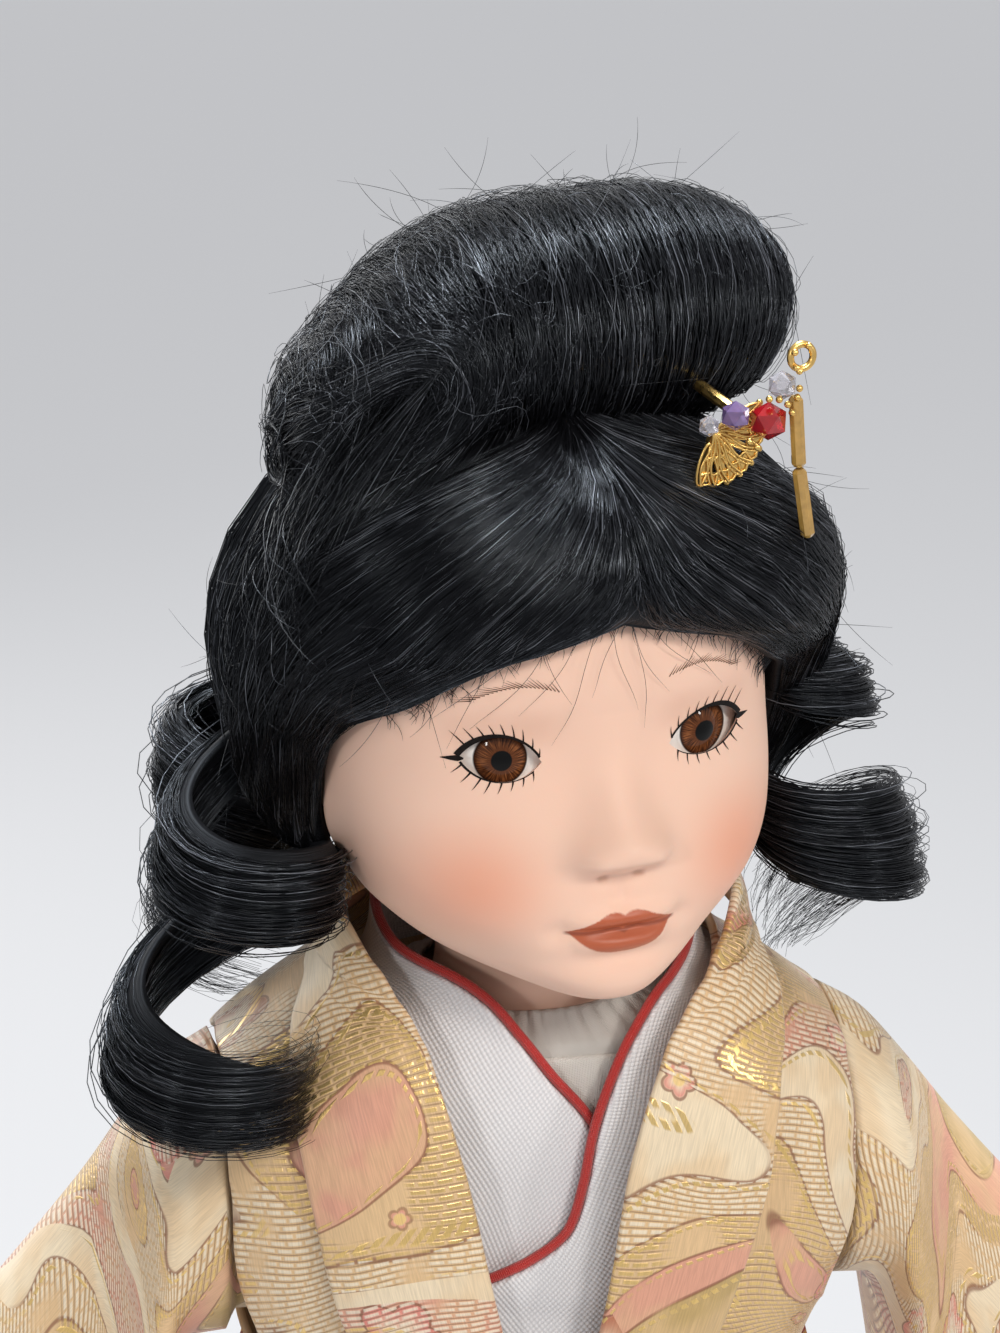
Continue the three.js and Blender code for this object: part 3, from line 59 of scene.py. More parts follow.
# Shape helpers; lengths are millimetres until a mesh is made
def curveThrough(pairs):
    x, y = np.array(pairs, float).T
    slope = np.diff(y) / np.diff(x)
    tangent = np.empty_like(y)
    tangent[0], tangent[-1] = slope[0], slope[-1]
    both = slope[:-1] * slope[1:]
    total = np.where(both > 0, slope[:-1] + slope[1:], 1)
    tangent[1:-1] = np.where(both > 0, 2 * both / total, 0)

    def value(at):
        at = np.clip(np.asarray(at, float), x[0], x[-1])
        i = np.clip(np.searchsorted(x, at, side="right") - 1, 0, len(x) - 2)
        step = x[i + 1] - x[i]
        t = (at - x[i]) / step
        rise = (t**3 - 2 * t**2 + t) * tangent[i] + (t**3 - t**2) * tangent[i + 1]
        return y[i] + (y[i + 1] - y[i]) * (3 * t**2 - 2 * t**3) + rise * step

    return value


def smooth(x, low, high):
    t = np.clip((np.asarray(x, float) - low) / (high - low), 0, 1)
    return t * t * (3 - 2 * t)


def hill(x, centre, spread):
    return np.exp(-0.5 * ((x - centre) / spread) ** 2)


def lerp(a, b, t):
    return a + (b - a) * t


def around(radius, angle, z):
    return np.stack(np.broadcast_arrays(radius * np.sin(angle), -radius * np.cos(angle), z), -1)


def unit(v):
    return v / np.maximum(np.linalg.norm(v, axis=-1, keepdims=True), 1e-9)


def lengths(points, axis):
    # distance from the first point, along one axis of a grid of places
    steps = np.cumsum(np.linalg.norm(np.diff(points, axis=axis), axis=-1), axis)
    return np.concatenate([np.zeros_like(np.take(steps, [0], axis)), steps], axis)


def throughPoints(points, count):
    p = np.asarray(points, float)
    p = np.concatenate([2 * p[:1] - p[1:2], p, 2 * p[-1:] - p[-2:-1]])
    t = np.linspace(0, len(p) - 3 - 1e-9, count)
    i = t.astype(int)
    f = (t - i)[:, None]
    a, b, c, d = p[i], p[i + 1], p[i + 2], p[i + 3]
    return 0.5 * (2 * b + (c - a) * f + (2 * a - 5 * b + 4 * c - d) * f**2 + (3 * b - a - 3 * c + d) * f**3)


def softNoise(*fields):
    total = 0
    for k, field in enumerate(fields):
        total = total + np.sin(field + 1.7 * k) + 0.5 * np.sin(2.13 * field + 0.9 * k + 1)
    return total / (1.5 * len(fields))


turnCos, turnSin = math.cos(math.radians(12)), math.sin(math.radians(12))


def headTurned(p):
    # from the head's own axes to the doll's: the head looks a little to its left
    x, y, z = np.moveaxis(np.asarray(p, float), -1, 0)
    return np.stack([x * turnCos - y * turnSin, x * turnSin + y * turnCos, z], -1)


def gridFaces(rows, columns, closed=False):
    r, c = np.meshgrid(np.arange(rows - 1), np.arange(columns if closed else columns - 1), indexing="ij")
    n = (c + 1) % columns
    quads = np.stack([r * columns + c, r * columns + n, (r + 1) * columns + n, (r + 1) * columns + c], -1)
    return quads.reshape(-1, 4)


def cappedFaces(rows, columns):
    ends = [list(range(columns)), list(range((rows - 1) * columns, rows * columns))]
    return gridFaces(rows, columns, closed=True).tolist() + ends


def newObject(name, data):
    obj = bpy.data.objects.new(name, data)
    scene.collection.objects.link(obj)
    return obj


def repaint(mesh, material):
    mesh.materials.clear()
    mesh.materials.append(material)


def finished(mesh, material, soft):
    mesh.polygons.foreach_set("use_smooth", np.full(len(mesh.polygons), soft))
    repaint(mesh, material)


def addMesh(name, points, faces, material, uv=None, flat=False):
    mesh = bpy.data.meshes.new(name)
    mesh.from_pydata((np.asarray(points).reshape(-1, 3) * mm).tolist(), [], [list(f) for f in faces])
    if uv is not None:
        corner = np.empty(len(mesh.loops), np.int32)
        mesh.loops.foreach_get("vertex_index", corner)
        layer = mesh.uv_layers.new(name="cut")
        layer.data.foreach_set("uv", np.asarray(uv, np.float32).reshape(-1, 2)[corner].ravel())
    finished(mesh, material, not flat)
    return newObject(name, mesh)


def editMesh(obj, change=None):
    # the change, where there is one, and then all faces pointing outwards
    work = bmesh.new()
    work.from_mesh(obj.data)
    if change:
        change(work)
    bmesh.ops.recalc_face_normals(work, faces=work.faces)
    work.to_mesh(obj.data)
    work.free()
    return obj


def weld(work):
    bmesh.ops.remove_doubles(work, verts=work.verts, dist=2e-6)
    bmesh.ops.dissolve_degenerate(work, dist=1e-7, edges=work.edges)


def dropLoose(work):
    bmesh.ops.delete(work, geom=[v for v in work.verts if not v.link_faces], context="VERTS")


def settle(obj, body, slot, *replaced):
    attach(obj, body)
    if replaced:
        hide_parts(*replaced)
    return obj


def plainCopy(obj, name):
    graph = bpy.context.evaluated_depsgraph_get()
    mesh = bpy.data.meshes.new_from_object(obj.evaluated_get(graph))
    bpy.data.objects.remove(obj)
    return newObject(name, mesh)


def refined(node, name, voxel, rounds, material):
    # a solid of the frame with its facets smoothed away
    source = newObject(name + ".source", nodes[node].data.copy())
    remesh = source.modifiers.new("remesh", "REMESH")
    remesh.mode = "VOXEL"
    remesh.voxel_size = voxel * mm

    def relax(work):
        for _ in range(rounds):
            bmesh.ops.smooth_vert(work, verts=work.verts, factor=0.5,
                                  use_axis_x=True, use_axis_y=True, use_axis_z=True)

    copy = editMesh(plainCopy(source, name), relax)
    finished(copy.data, material, True)
    return copy


# Shader helpers: a Wire is a value in a shader tree, so that sums of values read as sums
class Wire:
    def __init__(self, tree, socket):
        self.tree = tree
        self.socket = socket

    def math(self, operation, *others):
        return put(self.tree, "Math", dict(enumerate((self, *others))), operation=operation)

    def out(self, key):
        return Wire(self.tree, self.socket.node.outputs[key])

    def __add__(self, other):
        return self.math("ADD", other)

    def __sub__(self, other):
        return self.math("SUBTRACT", other)

    def __rsub__(self, other):
        return put(self.tree, "Math", {0: other, 1: self}, operation="SUBTRACT")

    def __mul__(self, other):
        return self.math("MULTIPLY", other)

    def __truediv__(self, other):
        return self.math("DIVIDE", other)

    def __pow__(self, other):
        return self.math("POWER", other)

    def __abs__(self):
        return self.math("ABSOLUTE")


def feed(socket, value):
    if isinstance(value, Wire):
        value.tree.links.new(value.socket, socket)
    else:
        socket.default_value = value


def put(tree, kind, inputs, out=0, **settings):
    node = tree.nodes.new("ShaderNode" + kind)
    for key, value in settings.items():
        setattr(node, key, value)
    for key, value in inputs.items():
        feed(node.inputs[key], value)
    return Wire(tree, node.outputs[out])


def drive(base, **values):
    for key, value in values.items():
        feed(base.inputs[key.replace("_", " ")], value)


def shader(name, **values):
    material = bpy.data.materials.new(name)
    material.use_nodes = True
    base = material.node_tree.nodes["Principled BSDF"]
    drive(base, **values)
    return material, material.node_tree, base


def mixColor(share, a, b, kind="MIX"):
    tree = next(value.tree for value in (share, a, b) if isinstance(value, Wire))
    return put(tree, "Mix", {0: share, 6: a, 7: b}, 2, data_type="RGBA", blend_type=kind)


def between(value, low, high, start=0.0, stop=1.0):
    inputs = {"Value": value, "From Min": low, "From Max": high, "To Min": start, "To Max": stop}
    return put(value.tree, "MapRange", inputs, interpolation_type="SMOOTHSTEP")


def near(value, centre, inner, outer):
    return between(abs(value - centre), inner, outer, 1.0, 0.0)


def noise(vector, scale, detail=2.0, distortion=0.0):
    inputs = {"Vector": vector, "Scale": scale, "Detail": detail, "Distortion": distortion}
    return put(vector.tree, "TexNoise", inputs)


def scatter(value):
    return put(value.tree, "TexWhiteNoise", {"W": value}, "Value", noise_dimensions="1D")


def ramp(value, stops, kind="LINEAR"):
    wire = put(value.tree, "ValToRGB", {0: value})
    band = wire.socket.node.color_ramp
    band.interpolation = kind
    while len(band.elements) < len(stops):
        band.elements.new(1.0)
    for element, (place, color) in zip(band.elements, stops):
        element.position = place
        element.color = (*color, 1)
    return wire


def tinted(value, color, share):
    # two shades of one colour, the darker one a share of it
    return ramp(value, [(0.3, tuple(share * c for c in color)), (0.7, color)])


def floatCurve(value, points):
    wire = put(value.tree, "FloatCurve", {"Value": value})
    mapping = wire.socket.node.mapping
    curve = mapping.curves[0]
    while len(curve.points) < len(points):
        curve.points.new(0.5, 0.5)
    for point, place in zip(curve.points, points):
        point.location = place
    mapping.update()
    return wire


def join3(x, y, z=0.0):
    return put(x.tree, "CombineXYZ", {0: x, 1: y, 2: z})


def split3(vector):
    first = put(vector.tree, "SeparateXYZ", {0: vector})
    return first, first.out(1), first.out(2)


def fromMiddle(value):
    # distance from the middle of a repeat, 0 to a half
    return abs(value.math("FRACT") - 0.5)


def bump(base, height, strength, distance=0.0002):
    inputs = {"Height": height, "Strength": strength, "Distance": distance}
    feed(base.inputs["Normal"], put(height.tree, "Bump", inputs))


def cutPlace(tree, scale):
    uv = put(tree, "UVMap", {}, uv_map="cut")
    place = put(tree, "VectorMath", {0: uv, "Scale": scale}, operation="SCALE")
    return place, *split3(place)[:2]


def objectPlace(tree):
    # the place on the doll in millimetres
    spot = put(tree, "TexCoord", {}, "Object")
    return put(tree, "VectorMath", {0: spot, "Scale": 1000}, operation="SCALE")


# Materials
skinTones = {"bisque": (0.82, 0.545, 0.425, 1), "blush": (0.74, 0.24, 0.125, 1),
             "lip": (0.42, 0.083, 0.026, 1), "lipPartingShade": (0.10, 0.016, 0.010, 1),
             "lid": (0.50, 0.24, 0.15, 1), "shade": (0.76, 0.44, 0.30)}
lipEdges = {"top": [(0, 0.785), (0.20, 0.808), (0.45, 0.765), (0.8, 0.685), (1, 0.66)],
            "low": [(0, 0.492), (0.26, 0.505), (0.55, 0.567), (0.8, 0.668), (1, 0.72)],
            "middle": [(0, 0.654), (0.16, 0.676), (0.4, 0.664), (0.8, 0.67), (1, 0.69)]}


def skinMaterial():
    material, tree, base = shader("bisque_skin", Specular_IOR_Level=0.32, Subsurface_Weight=0.12,
                                  Subsurface_Radius=(0.0026, 0.0012, 0.0007), Subsurface_Scale=1.0)
    place, x, z = cutPlace(tree, faceSpan)
    side = abs(x)
    # cheeks
    apart = (((side - 20.0) / 12.0) ** 2.0 + ((z - 20.5) / 11.0) ** 2.0).math("SQRT")
    color = mixColor(between(apart, 0.0, 1.15, 1.0, 0.0) * 0.54, skinTones["bisque"], skinTones["blush"])
    # a faint tint above the eyes
    color = mixColor(near(side, 15.5, 4, 10) * near(z, 42.3, 0.4, 4.4) * 0.22, color, skinTones["lid"])
    # lips: upper edge with its bow, lower edge, and painted shade along the parting between them
    along = side / 10.0
    top, low, middle = (floatCurve(along, lipEdges[edge]) * 20.0 for edge in ("top", "low", "middle"))
    zLip = z + (noise(place, 2.4, 1) - 0.5) * 0.25
    lip = between(top - zLip, -0.12, 0.22) * between(zLip - low, -0.15, 0.3)
    color = mixColor(lip * 0.94, color, skinTones["lip"])
    # painted shade in the crease where the lips meet
    partingShade = between(abs(z - middle), 0.1, 0.42, 1, 0) * between(side, 8.0, 8.7, 1, 0)
    color = mixColor(partingShade * 0.45, color, skinTones["lipPartingShade"])
    # nostrils: painted shade in their hollows
    color = mixColor(near(side, 2.7, 0.3, 1.3) * near(z, 20.9, 0.1, 0.75) * 0.55, color, skinTones["lid"])
    bump(base, noise(objectPlace(tree), 3.2, 3), 0.10, 0.00008)
    drive(base, Base_Color=color, Roughness=between(lip, 0, 1, 0.56, 0.40))
    return material


def eyeMaterial():
    material, tree, base = shader("eye_glass_brown", Roughness=0.28, Specular_IOR_Level=0.02, Coat_Weight=0.8,
                                  Coat_IOR=1.28, Coat_Roughness=0.015)
    _, x, z = cutPlace(tree, eyeSpan)
    reach = (x * x + z * z).math("SQRT")
    angle = z.math("ARCTAN2", x)
    rays = noise(join3(angle * 9.0, reach * 0.35), 1.6, 3)
    browns = (0.026, 0.008, 0.003), (0.105, 0.033, 0.011), (0.26, 0.092, 0.03)
    amber = ramp(rays, list(zip((0.32, 0.5, 0.68), browns)))
    iris = mixColor(between(reach, 1.6, 2.4, 0.65, 0.0), amber, (0.09, 0.026, 0.008, 1))
    iris = mixColor(between(reach, 3.0, 3.75), iris, (0.018, 0.008, 0.005, 1))
    iris = mixColor(between(reach, 1.38, 1.58, 1.0, 0.0), iris, (0.002, 0.002, 0.002, 1))
    # the white of the eye, greyer away from the iris: painted shade towards the corners of the opening
    white = mixColor(between(reach, 4.2, 6.4), (0.82, 0.80, 0.77, 1), (0.70, 0.655, 0.62, 1))
    color = mixColor(between(reach, 3.62, 3.88), iris, white)
    # painted shade of the upper lid: the top of the eye darker
    drive(base, Base_Color=mixColor(between(z, 1.0, 3.4, 0.0, 0.62), color, (0.012, 0.006, 0.004, 1)))
    return material


def paintMaterial(name, color, roughness):
    material, tree, base = shader(name, Roughness=roughness, Specular_IOR_Level=0.08)
    drive(base, Base_Color=tinted(noise(objectPlace(tree), 1.7, 2), color, 0.6))
    return material


def hairMassMaterial():
    material, tree, base = shader("hair_mass", Roughness=0.55, Specular_IOR_Level=0.25,
                                  Specular_Tint=(0.80, 0.89, 1.0, 1))
    _, u, v = cutPlace(tree, 100)
    combed = noise(join3(u * 3.4, v * 0.10), 1.0, 3)
    drive(base, Base_Color=ramp(combed, [(0.3, (0.002, 0.002, 0.0025)), (0.7, (0.008, 0.0078, 0.0095))]))
    bump(base, combed, 0.75, 0.0005)
    return material


def hairStrandMaterial():
    material, tree, base = shader("hair_strand", Roughness=0.26, Specular_Tint=(0.80, 0.89, 1.0, 1))
    # a share of the strands, in patches, painted lighter as painted glints; these also reflect more
    glintPatch = between(noise(objectPlace(tree), 0.16, 3), 0.30, 0.66, 0.35, 1.0)
    tone = put(tree, "Attribute", {}, "Fac", attribute_name="tone") * glintPatch
    dark, mid, paintedGlint = (0.0028, 0.0027, 0.0034), (0.010, 0.0098, 0.0122), (0.105, 0.110, 0.128)
    drive(base, Base_Color=ramp(tone, [(0.0, dark), (0.3, mid), (1.0, paintedGlint)]),
          Specular_IOR_Level=between(tone, 0.1, 0.8, 0.35, 1.0))
    return material


def satinMaterial(name, color, pitch, shade):
    material, tree, base = shader(name, Sheen_Weight=0.25)
    place, u, v = cutPlace(tree, clothSpan)
    step = fullTurn / pitch
    weave = ((u + v) * step).math("SINE") * ((u - v) * step).math("SINE")
    height = between(weave, -1.0, 1.0)
    light = tinted(noise(place, 0.05, 3), color, 0.93)
    bump(base, height, 0.6, 0.00022)
    drive(base, Base_Color=mixColor(height * shade, light, (0.52, 0.52, 0.55, 1), "MULTIPLY"),
          Roughness=between(weave, -1, 1, 0.46, 0.30))
    return material


kimonoTones = {"ground": (0.72, 0.49, 0.265), "pale": (0.83, 0.69, 0.49), "blush": (0.69, 0.33, 0.23),
               "rust": (0.42, 0.125, 0.05), "pink": (0.70, 0.19, 0.165), "olive": (0.49, 0.335, 0.125),
               "outline": (0.20, 0.055, 0.022), "white": (0.87, 0.77, 0.60), "metal": (0.83, 0.57, 0.20),
               "shadow": (0.20, 0.10, 0.04)}


def brocadeMaterial(name, offset):
    material, tree, base = shader(name, Sheen_Weight=0.2)
    tone = {key: (*value, 1) for key, value in kimonoTones.items()}
    stops = lambda *pairs: [(place, kimonoTones[key]) for place, key in pairs]
    place, u, v = cutPlace(tree, clothSpan)
    place = put(tree, "VectorMath", {0: place, 1: offset}, operation="ADD")
    # flowing cloud shapes
    level = noise(place, 0.020, 1.0, 0.6) * 15.0
    cell = level.math("FLOOR")
    part = level.math("FRACT")
    cloud = ramp(scatter(cell), stops((0.0, "ground"), (0.26, "pale"), (0.42, "blush"), (0.55, "ground"),
                                      (0.68, "olive"), (0.80, "rust"), (0.90, "pale")), "CONSTANT")
    fade = between(noise(place, 0.09, 2), 0.40, 0.60, 0.05, 0.55)
    color = mixColor(fade, cloud, tone["ground"])
    drawn = between(noise(place, 0.04, 1), 0.40, 0.46)
    edge = between(part.math("MINIMUM", 1.0 - part), 0.015, 0.06, 1.0, 0.0) * drawn
    color = mixColor(edge * 0.72, color, tone["outline"])
    # five-petalled blossoms, one to a cell, each turned at random
    cells = {"Vector": place, "Scale": 0.040, "Randomness": 0.85}
    flower = put(tree, "TexVoronoi", cells, voronoi_dimensions="2D")
    away = put(tree, "VectorMath", {0: place, 1: flower.out("Position")}, operation="SUBTRACT")
    across, up, _ = split3(away)
    spin, large, hue = split3(flower.out("Color"))
    reach = (across ** 2.0 + up ** 2.0).math("SQRT")
    turn = up.math("ARCTAN2", across) + spin * phaseSpan
    petal = abs((turn * 2.5).math("COSINE"))
    size = between(large, 0.25, 0.9, 0.0, 5.6)
    rim = size * (petal * 0.42 + 1.0)
    inside = rim - reach
    tip = ramp(hue, stops((0.0, "pink"), (0.45, "rust"), (0.7, "pink")), "CONSTANT")
    bloom = mixColor(between(reach / (rim + 0.01), 0.15, 0.95), tone["pale"], tip)
    bloom = mixColor(between(reach, 0.7, 1.1, 1.0, 0.0), bloom, tone["metal"])
    color = mixColor(between(inside, 0.0, 0.5, 0.0, 0.8), color, bloom)
    line = between(abs(inside), 0.10, 0.36, 1.0, 0.0) * between(size, 0.5, 1.5)
    color = mixColor(line * 0.75, color, tone["outline"])
    # rows of floating weft threads inside some of the shapes
    row = (v + noise(place, 0.030, 1) * 14.0) / 1.05
    rowPart = fromMiddle(row)
    runPart = fromMiddle(u / 2.7 + scatter(row.math("FLOOR")))
    dash = between(rowPart, 0.17, 0.32, 1.0, 0.0) * between(runPart, 0.34, 0.46, 1.0, 0.0)
    zone = scatter(cell + 0.37)
    woven = zone.math("GREATER_THAN", 0.30) * between(noise(place, 0.06, 2), 0.36, 0.46)
    color = mixColor(woven * between(rowPart, 0.34, 0.46) * 0.60, color, tone["shadow"])
    thread = ramp(zone, stops((0.0, "white"), (0.64, "white"), (0.66, "metal"), (1.0, "metal")))
    shown = dash * woven
    color = mixColor(shown * 0.74, color, thread)
    # lines of gilt stitches along the edges of the shapes
    stitch = near(part, 0.16, 0.03, 0.06) * between(fromMiddle((u + v) / 2.1), 0.26, 0.34, 1.0, 0.0) * drawn
    color = mixColor(stitch * 0.85, color, tone["metal"])
    # the satin ground's own fine threads
    warp = noise(join3(u * 4.2, v * 0.22), 1.0, 2)
    fine = between(warp, 0.25, 0.75, 0.86, 1.06)
    gilt = stitch.math("MAXIMUM", shown * zone.math("GREATER_THAN", 0.65))
    bump(base, shown.math("MAXIMUM", stitch) * 0.8 + warp * 0.35, 0.5, 0.00022)
    drive(base, Base_Color=mixColor(1.0, color, join3(fine, fine, fine), "MULTIPLY"), Metallic=gilt * 0.7,
          Roughness=between(gilt, 0, 1, 0.46, 0.28))
    return material


def sashMaterial():
    material, tree, base = shader("sash_brocade", Roughness=0.42, Sheen_Weight=0.2)
    place, u, v = cutPlace(tree, clothSpan)
    # a diamond lattice in gold thread with a seed in each diamond
    one, two = fromMiddle((u + v) / 9.0), fromMiddle((u - v) / 9.0)
    lattice = between(one, 0.41, 0.46).math("MAXIMUM", between(two, 0.41, 0.46))
    seed = between(one, 0.06, 0.13, 1.0, 0.0) * between(two, 0.06, 0.13, 1.0, 0.0)
    thread = lattice.math("MAXIMUM", seed)
    ground = ramp(noise(place, 0.08, 3), [(0.3, (0.20, 0.022, 0.014)), (0.7, (0.34, 0.045, 0.022))])
    bump(base, thread + (v * 9.0).math("SINE") * 0.25, 0.45, 0.0002)
    drive(base, Base_Color=mixColor(thread * 0.85, ground, (0.72, 0.46, 0.16, 1)), Metallic=thread * 0.6)
    return material


def weaveMaterial(name, color, pitch):
    material, tree, base = shader(name, Roughness=0.85)
    place = objectPlace(tree)
    x, y, z = split3(place)
    step = fullTurn / pitch
    bump(base, ((x + y) * step).math("SINE") * (z * step).math("SINE"), 0.3)
    drive(base, Base_Color=tinted(noise(place, 0.12, 3), color, 0.85))
    return material


def metalMaterial(name, color, roughness):
    material, tree, base = shader(name, Metallic=1.0)
    worn = noise(objectPlace(tree), 0.9, 3)
    drive(base, Base_Color=tinted(worn, color, 0.7),
          Roughness=between(worn, 0.3, 0.7, roughness + 0.12, roughness))
    return material


def glassMaterial(name, color, transmission):
    material, tree, base = shader(name, Roughness=0.04, Transmission_Weight=transmission, Coat_Weight=0.6,
                                  Coat_Roughness=0.03)
    drive(base, Base_Color=tinted(noise(objectPlace(tree), 0.8, 2), color, 0.75))
    return material


def plainSkinMaterial():
    material, tree, base = shader("bisque_plain", Roughness=0.56, Specular_IOR_Level=0.32)
    place = objectPlace(tree)
    bump(base, noise(place, 3.2, 3), 0.10, 0.00008)
    tones = [(0.3, skinTones["shade"]), (0.7, skinTones["bisque"][:3])]
    drive(base, Base_Color=ramp(noise(place, 0.09, 3), tones))
    return material


def sockedLegMaterial():
    material, tree, base = shader("bisque_and_sock")
    height = split3(objectPlace(tree))[2]
    sock = between(height, 44.6, 45.0, 1.0, 0.0)
    bump(base, (height * 9.0).math("SINE") * sock, 0.3)
    drive(base, Base_Color=mixColor(sock, skinTones["bisque"], (0.80, 0.79, 0.76, 1)),
          Roughness=between(sock, 0, 1, 0.56, 0.9))
    return material


skin = skinMaterial()
skinPlain = plainSkinMaterial()
legSkin = sockedLegMaterial()
eyeGlass = eyeMaterial()
lashPaint = paintMaterial("lash_paint", (0.012, 0.009, 0.008), 0.5)
browPaint = paintMaterial("brow_paint", (0.10, 0.045, 0.022), 0.6)
hairStrand = hairStrandMaterial()
hairMass = hairMassMaterial()
whiteSatin = satinMaterial("white_satin", (0.84, 0.83, 0.85), 1.35, 0.36)
plainSilk = satinMaterial("undershirt_silk", (0.78, 0.75, 0.70), 0.5, 0.12)
redSatin = satinMaterial("red_piping", (0.55, 0.022, 0.016), 0.6, 0.35)
cordSilk = satinMaterial("cord_silk", (0.84, 0.82, 0.78), 0.7, 0.25)
brocade = {-1: brocadeMaterial("kimono_brocade", (0, 0, 0)),
           1: brocadeMaterial("left_brocade", (330, 210, 0))}
lapelBrocade = {-1: brocadeMaterial("lapel_brocade", (140, 60, 0)),
                1: brocadeMaterial("left_lapel_brocade", (-230, 145, 0))}
sash = sashMaterial()
calico = weaveMaterial("calico", (0.72, 0.62, 0.46), 0.8)
pate = weaveMaterial("pate_card", (0.60, 0.47, 0.31), 1.3)
thongVelvet = weaveMaterial("thong_velvet", (0.36, 0.02, 0.016), 0.6)
soleLacquer = weaveMaterial("sandal_lacquer", (0.075, 0.022, 0.014), 1.6)
gold = metalMaterial("gilt_metal", (0.86, 0.56, 0.18), 0.24)
steel = metalMaterial("steel", (0.50, 0.51, 0.53), 0.32)
redGlass = glassMaterial("red_glass", (0.52, 0.012, 0.02), 0.35)
violetGlass = glassMaterial("violet_glass", (0.26, 0.17, 0.40), 0.4)
clearGlass = glassMaterial("clear_glass", (0.86, 0.84, 0.90), 0.75)
amberGlass = glassMaterial("amber_tube_glass", (0.66, 0.40, 0.10), 0.35)
print("materials done")


# Head: the same surface as the frame's, on a fine grid
head = {"chin": 315, "height": 78, "halfWidth": 33, "face": 33, "skull": 36, "nose": 6, "eyeRise": 38,
        "eyeSide": 15.5, "eyeHalf": {-1: 5.55, 1: 6.2}, "eyeTall": 7.0, "power": 2.22, "lidWall": 3.4}
widthShare = curveThrough([(-0.02, 0.1), (0.02, 0.36), (0.06, 0.55), (0.12, 0.71), (0.2, 0.85), (0.3, 0.94),
                           (0.42, 0.985), (0.56, 1), (0.7, 0.98), (0.82, 0.87), (0.91, 0.66), (0.97, 0.38),
                           (1, 0.02)])
frontShare = curveThrough([(-0.02, 0.4), (0.01, 0.95), (0.04, 1.06), (0.08, 1.09), (0.12, 1.08),
                           (0.18, 1.08), (0.3, 1.04), (0.48, 0.958), (0.6, 0.98), (0.7, 0.99), (0.8, 0.92),
                           (0.9, 0.72), (0.97, 0.4), (1, 0.02)])
backShare = curveThrough([(-0.02, 0.3), (0.1, 0.4), (0.2, 0.58), (0.33, 0.84), (0.48, 0.97), (0.6, 1),
                          (0.74, 0.95), (0.86, 0.79), (0.95, 0.48), (1, 0.02)])
noseRidge = curveThrough([(21, 0), (22.6, 0.42), (24.2, 0.86), (26.2, 1), (29.5, 0.74), (33.5, 0.42),
                          (38, 0.16), (44, 0)])
noseWidth = curveThrough([(21, 3.8), (25, 3.9), (29, 3.4), (35, 3.0), (44, 3.5)])
neckProfile = curveThrough([(-14, 16), (-9, 14.2), (-5, 13.5), (16, 13.5)])


def faceRelief(across, rise):
    side = np.abs(across)
    eyeSide, eyeRise = head["eyeSide"], head["eyeRise"]
    lip = lambda half: np.maximum(0, 1 - (side / half) ** 2)
    relief = head["nose"] * noseRidge(rise) * hill(across, 0, noseWidth(rise))
    # nostrils, lips, philtrum, chin and cheeks
    relief = relief + 1.5 * hill(side, 4.3, 1.7) * hill(rise, 24.2, 1.9)
    relief = relief - 0.7 * hill(side, 2.6, 1) * hill(rise, 21.8, 0.9)
    relief = relief + 1.5 * lip(8) * hill(rise, 15.1, 1.05) + 1.9 * lip(6.8) * hill(rise, 11.6, 1.2)
    relief = relief - 0.9 * lip(8.4) * hill(rise, 13.4, 0.55)
    relief = relief - 0.8 * hill(side, 8.6, 1.2) * hill(rise, 13.6, 1.3)
    relief = relief - 0.45 * hill(across, 0, 1) * hill(rise, 18, 1.9)
    relief = relief - 0.9 * hill(across, 0, 5) * hill(rise, 8.7, 1.3)
    relief = relief + 1.3 * hill(across, 0, 5) * hill(rise, 4.6, 3)
    relief = relief + 2 * hill(side, 17, 8) * hill(rise, 18, 7)
    relief = relief + 2.8 * hill(side, 29, 7) * hill(rise, 22, 16)
    # eye sockets, lids and brows
    relief = relief - 1.1 * hill(side, eyeSide - 3, 6) * hill(rise, eyeRise + 1, 4.5)
    relief = relief + 1.1 * hill(side, eyeSide + 1, 5) * hill(rise, eyeRise, 3.6)
    return relief + 0.7 * hill(side, 14, 8) * hill(rise, eyeRise + 9, 3)


def headRadius(angle, rise):
    share = rise / head["height"]
    front = np.cos(angle) > 0
    wide = head["halfWidth"] * widthShare(share)
    deep = np.where(front, head["face"] * frontShare(share), head["skull"] * backShare(share))
    power = head["power"]
    oval = ((np.abs(np.sin(angle)) / wide) ** power + (np.abs(np.cos(angle)) / deep) ** power) ** (-1 / power)
    facing = np.where(front, smooth(np.cos(angle), 0, 0.35), 0)
    return oval + facing * faceRelief(head["face"] * np.sin(angle), rise) * smooth(share, -0.02, 0.03)


def skinRadius(angle, rise):
    low = -0.02 * head["height"]
    skull = headRadius(angle, np.maximum(rise, low)) - 3 * np.maximum(0, low - rise)
    neck = neckProfile(rise)
    soft = 2.5
    top = np.maximum(neck, skull)
    either = top + soft * np.log(np.exp((neck - top) / soft) + np.exp((skull - top) / soft))
    either = either - soft * 0.25 * hill(neck - skull, 0, 4)
    lobe = 1.8 * hill(np.abs(np.degrees(angle)), 79, 4) * hill(rise, 25, 5)
    return lerp(either, skull, smooth(rise, 12, 17)) + lobe


def skullPoint(angle, rise, offset):
    at = lambda a, h: around(headRadius(a, h), a, h + head["chin"])
    across = at(angle + 0.02, rise) - at(angle - 0.02, rise)
    up = at(angle, np.minimum(rise + 0.4, head["height"])) - at(angle, rise - 0.4)
    normal = unit(np.cross(across, up))
    return at(angle, rise) + normal * np.asarray(offset)[..., None]


def faceAngle(x, rise):
    angle = np.arcsin(np.clip(x / head["face"], -0.95, 0.95))
    for _ in range(12):
        angle = np.arcsin(np.clip(x / skinRadius(angle, rise), -0.98, 0.98))
    return angle


def onFace(x, rise, lift):
    angle = faceAngle(x, rise)
    return around(skinRadius(angle, rise) + lift, angle, rise + head["chin"])


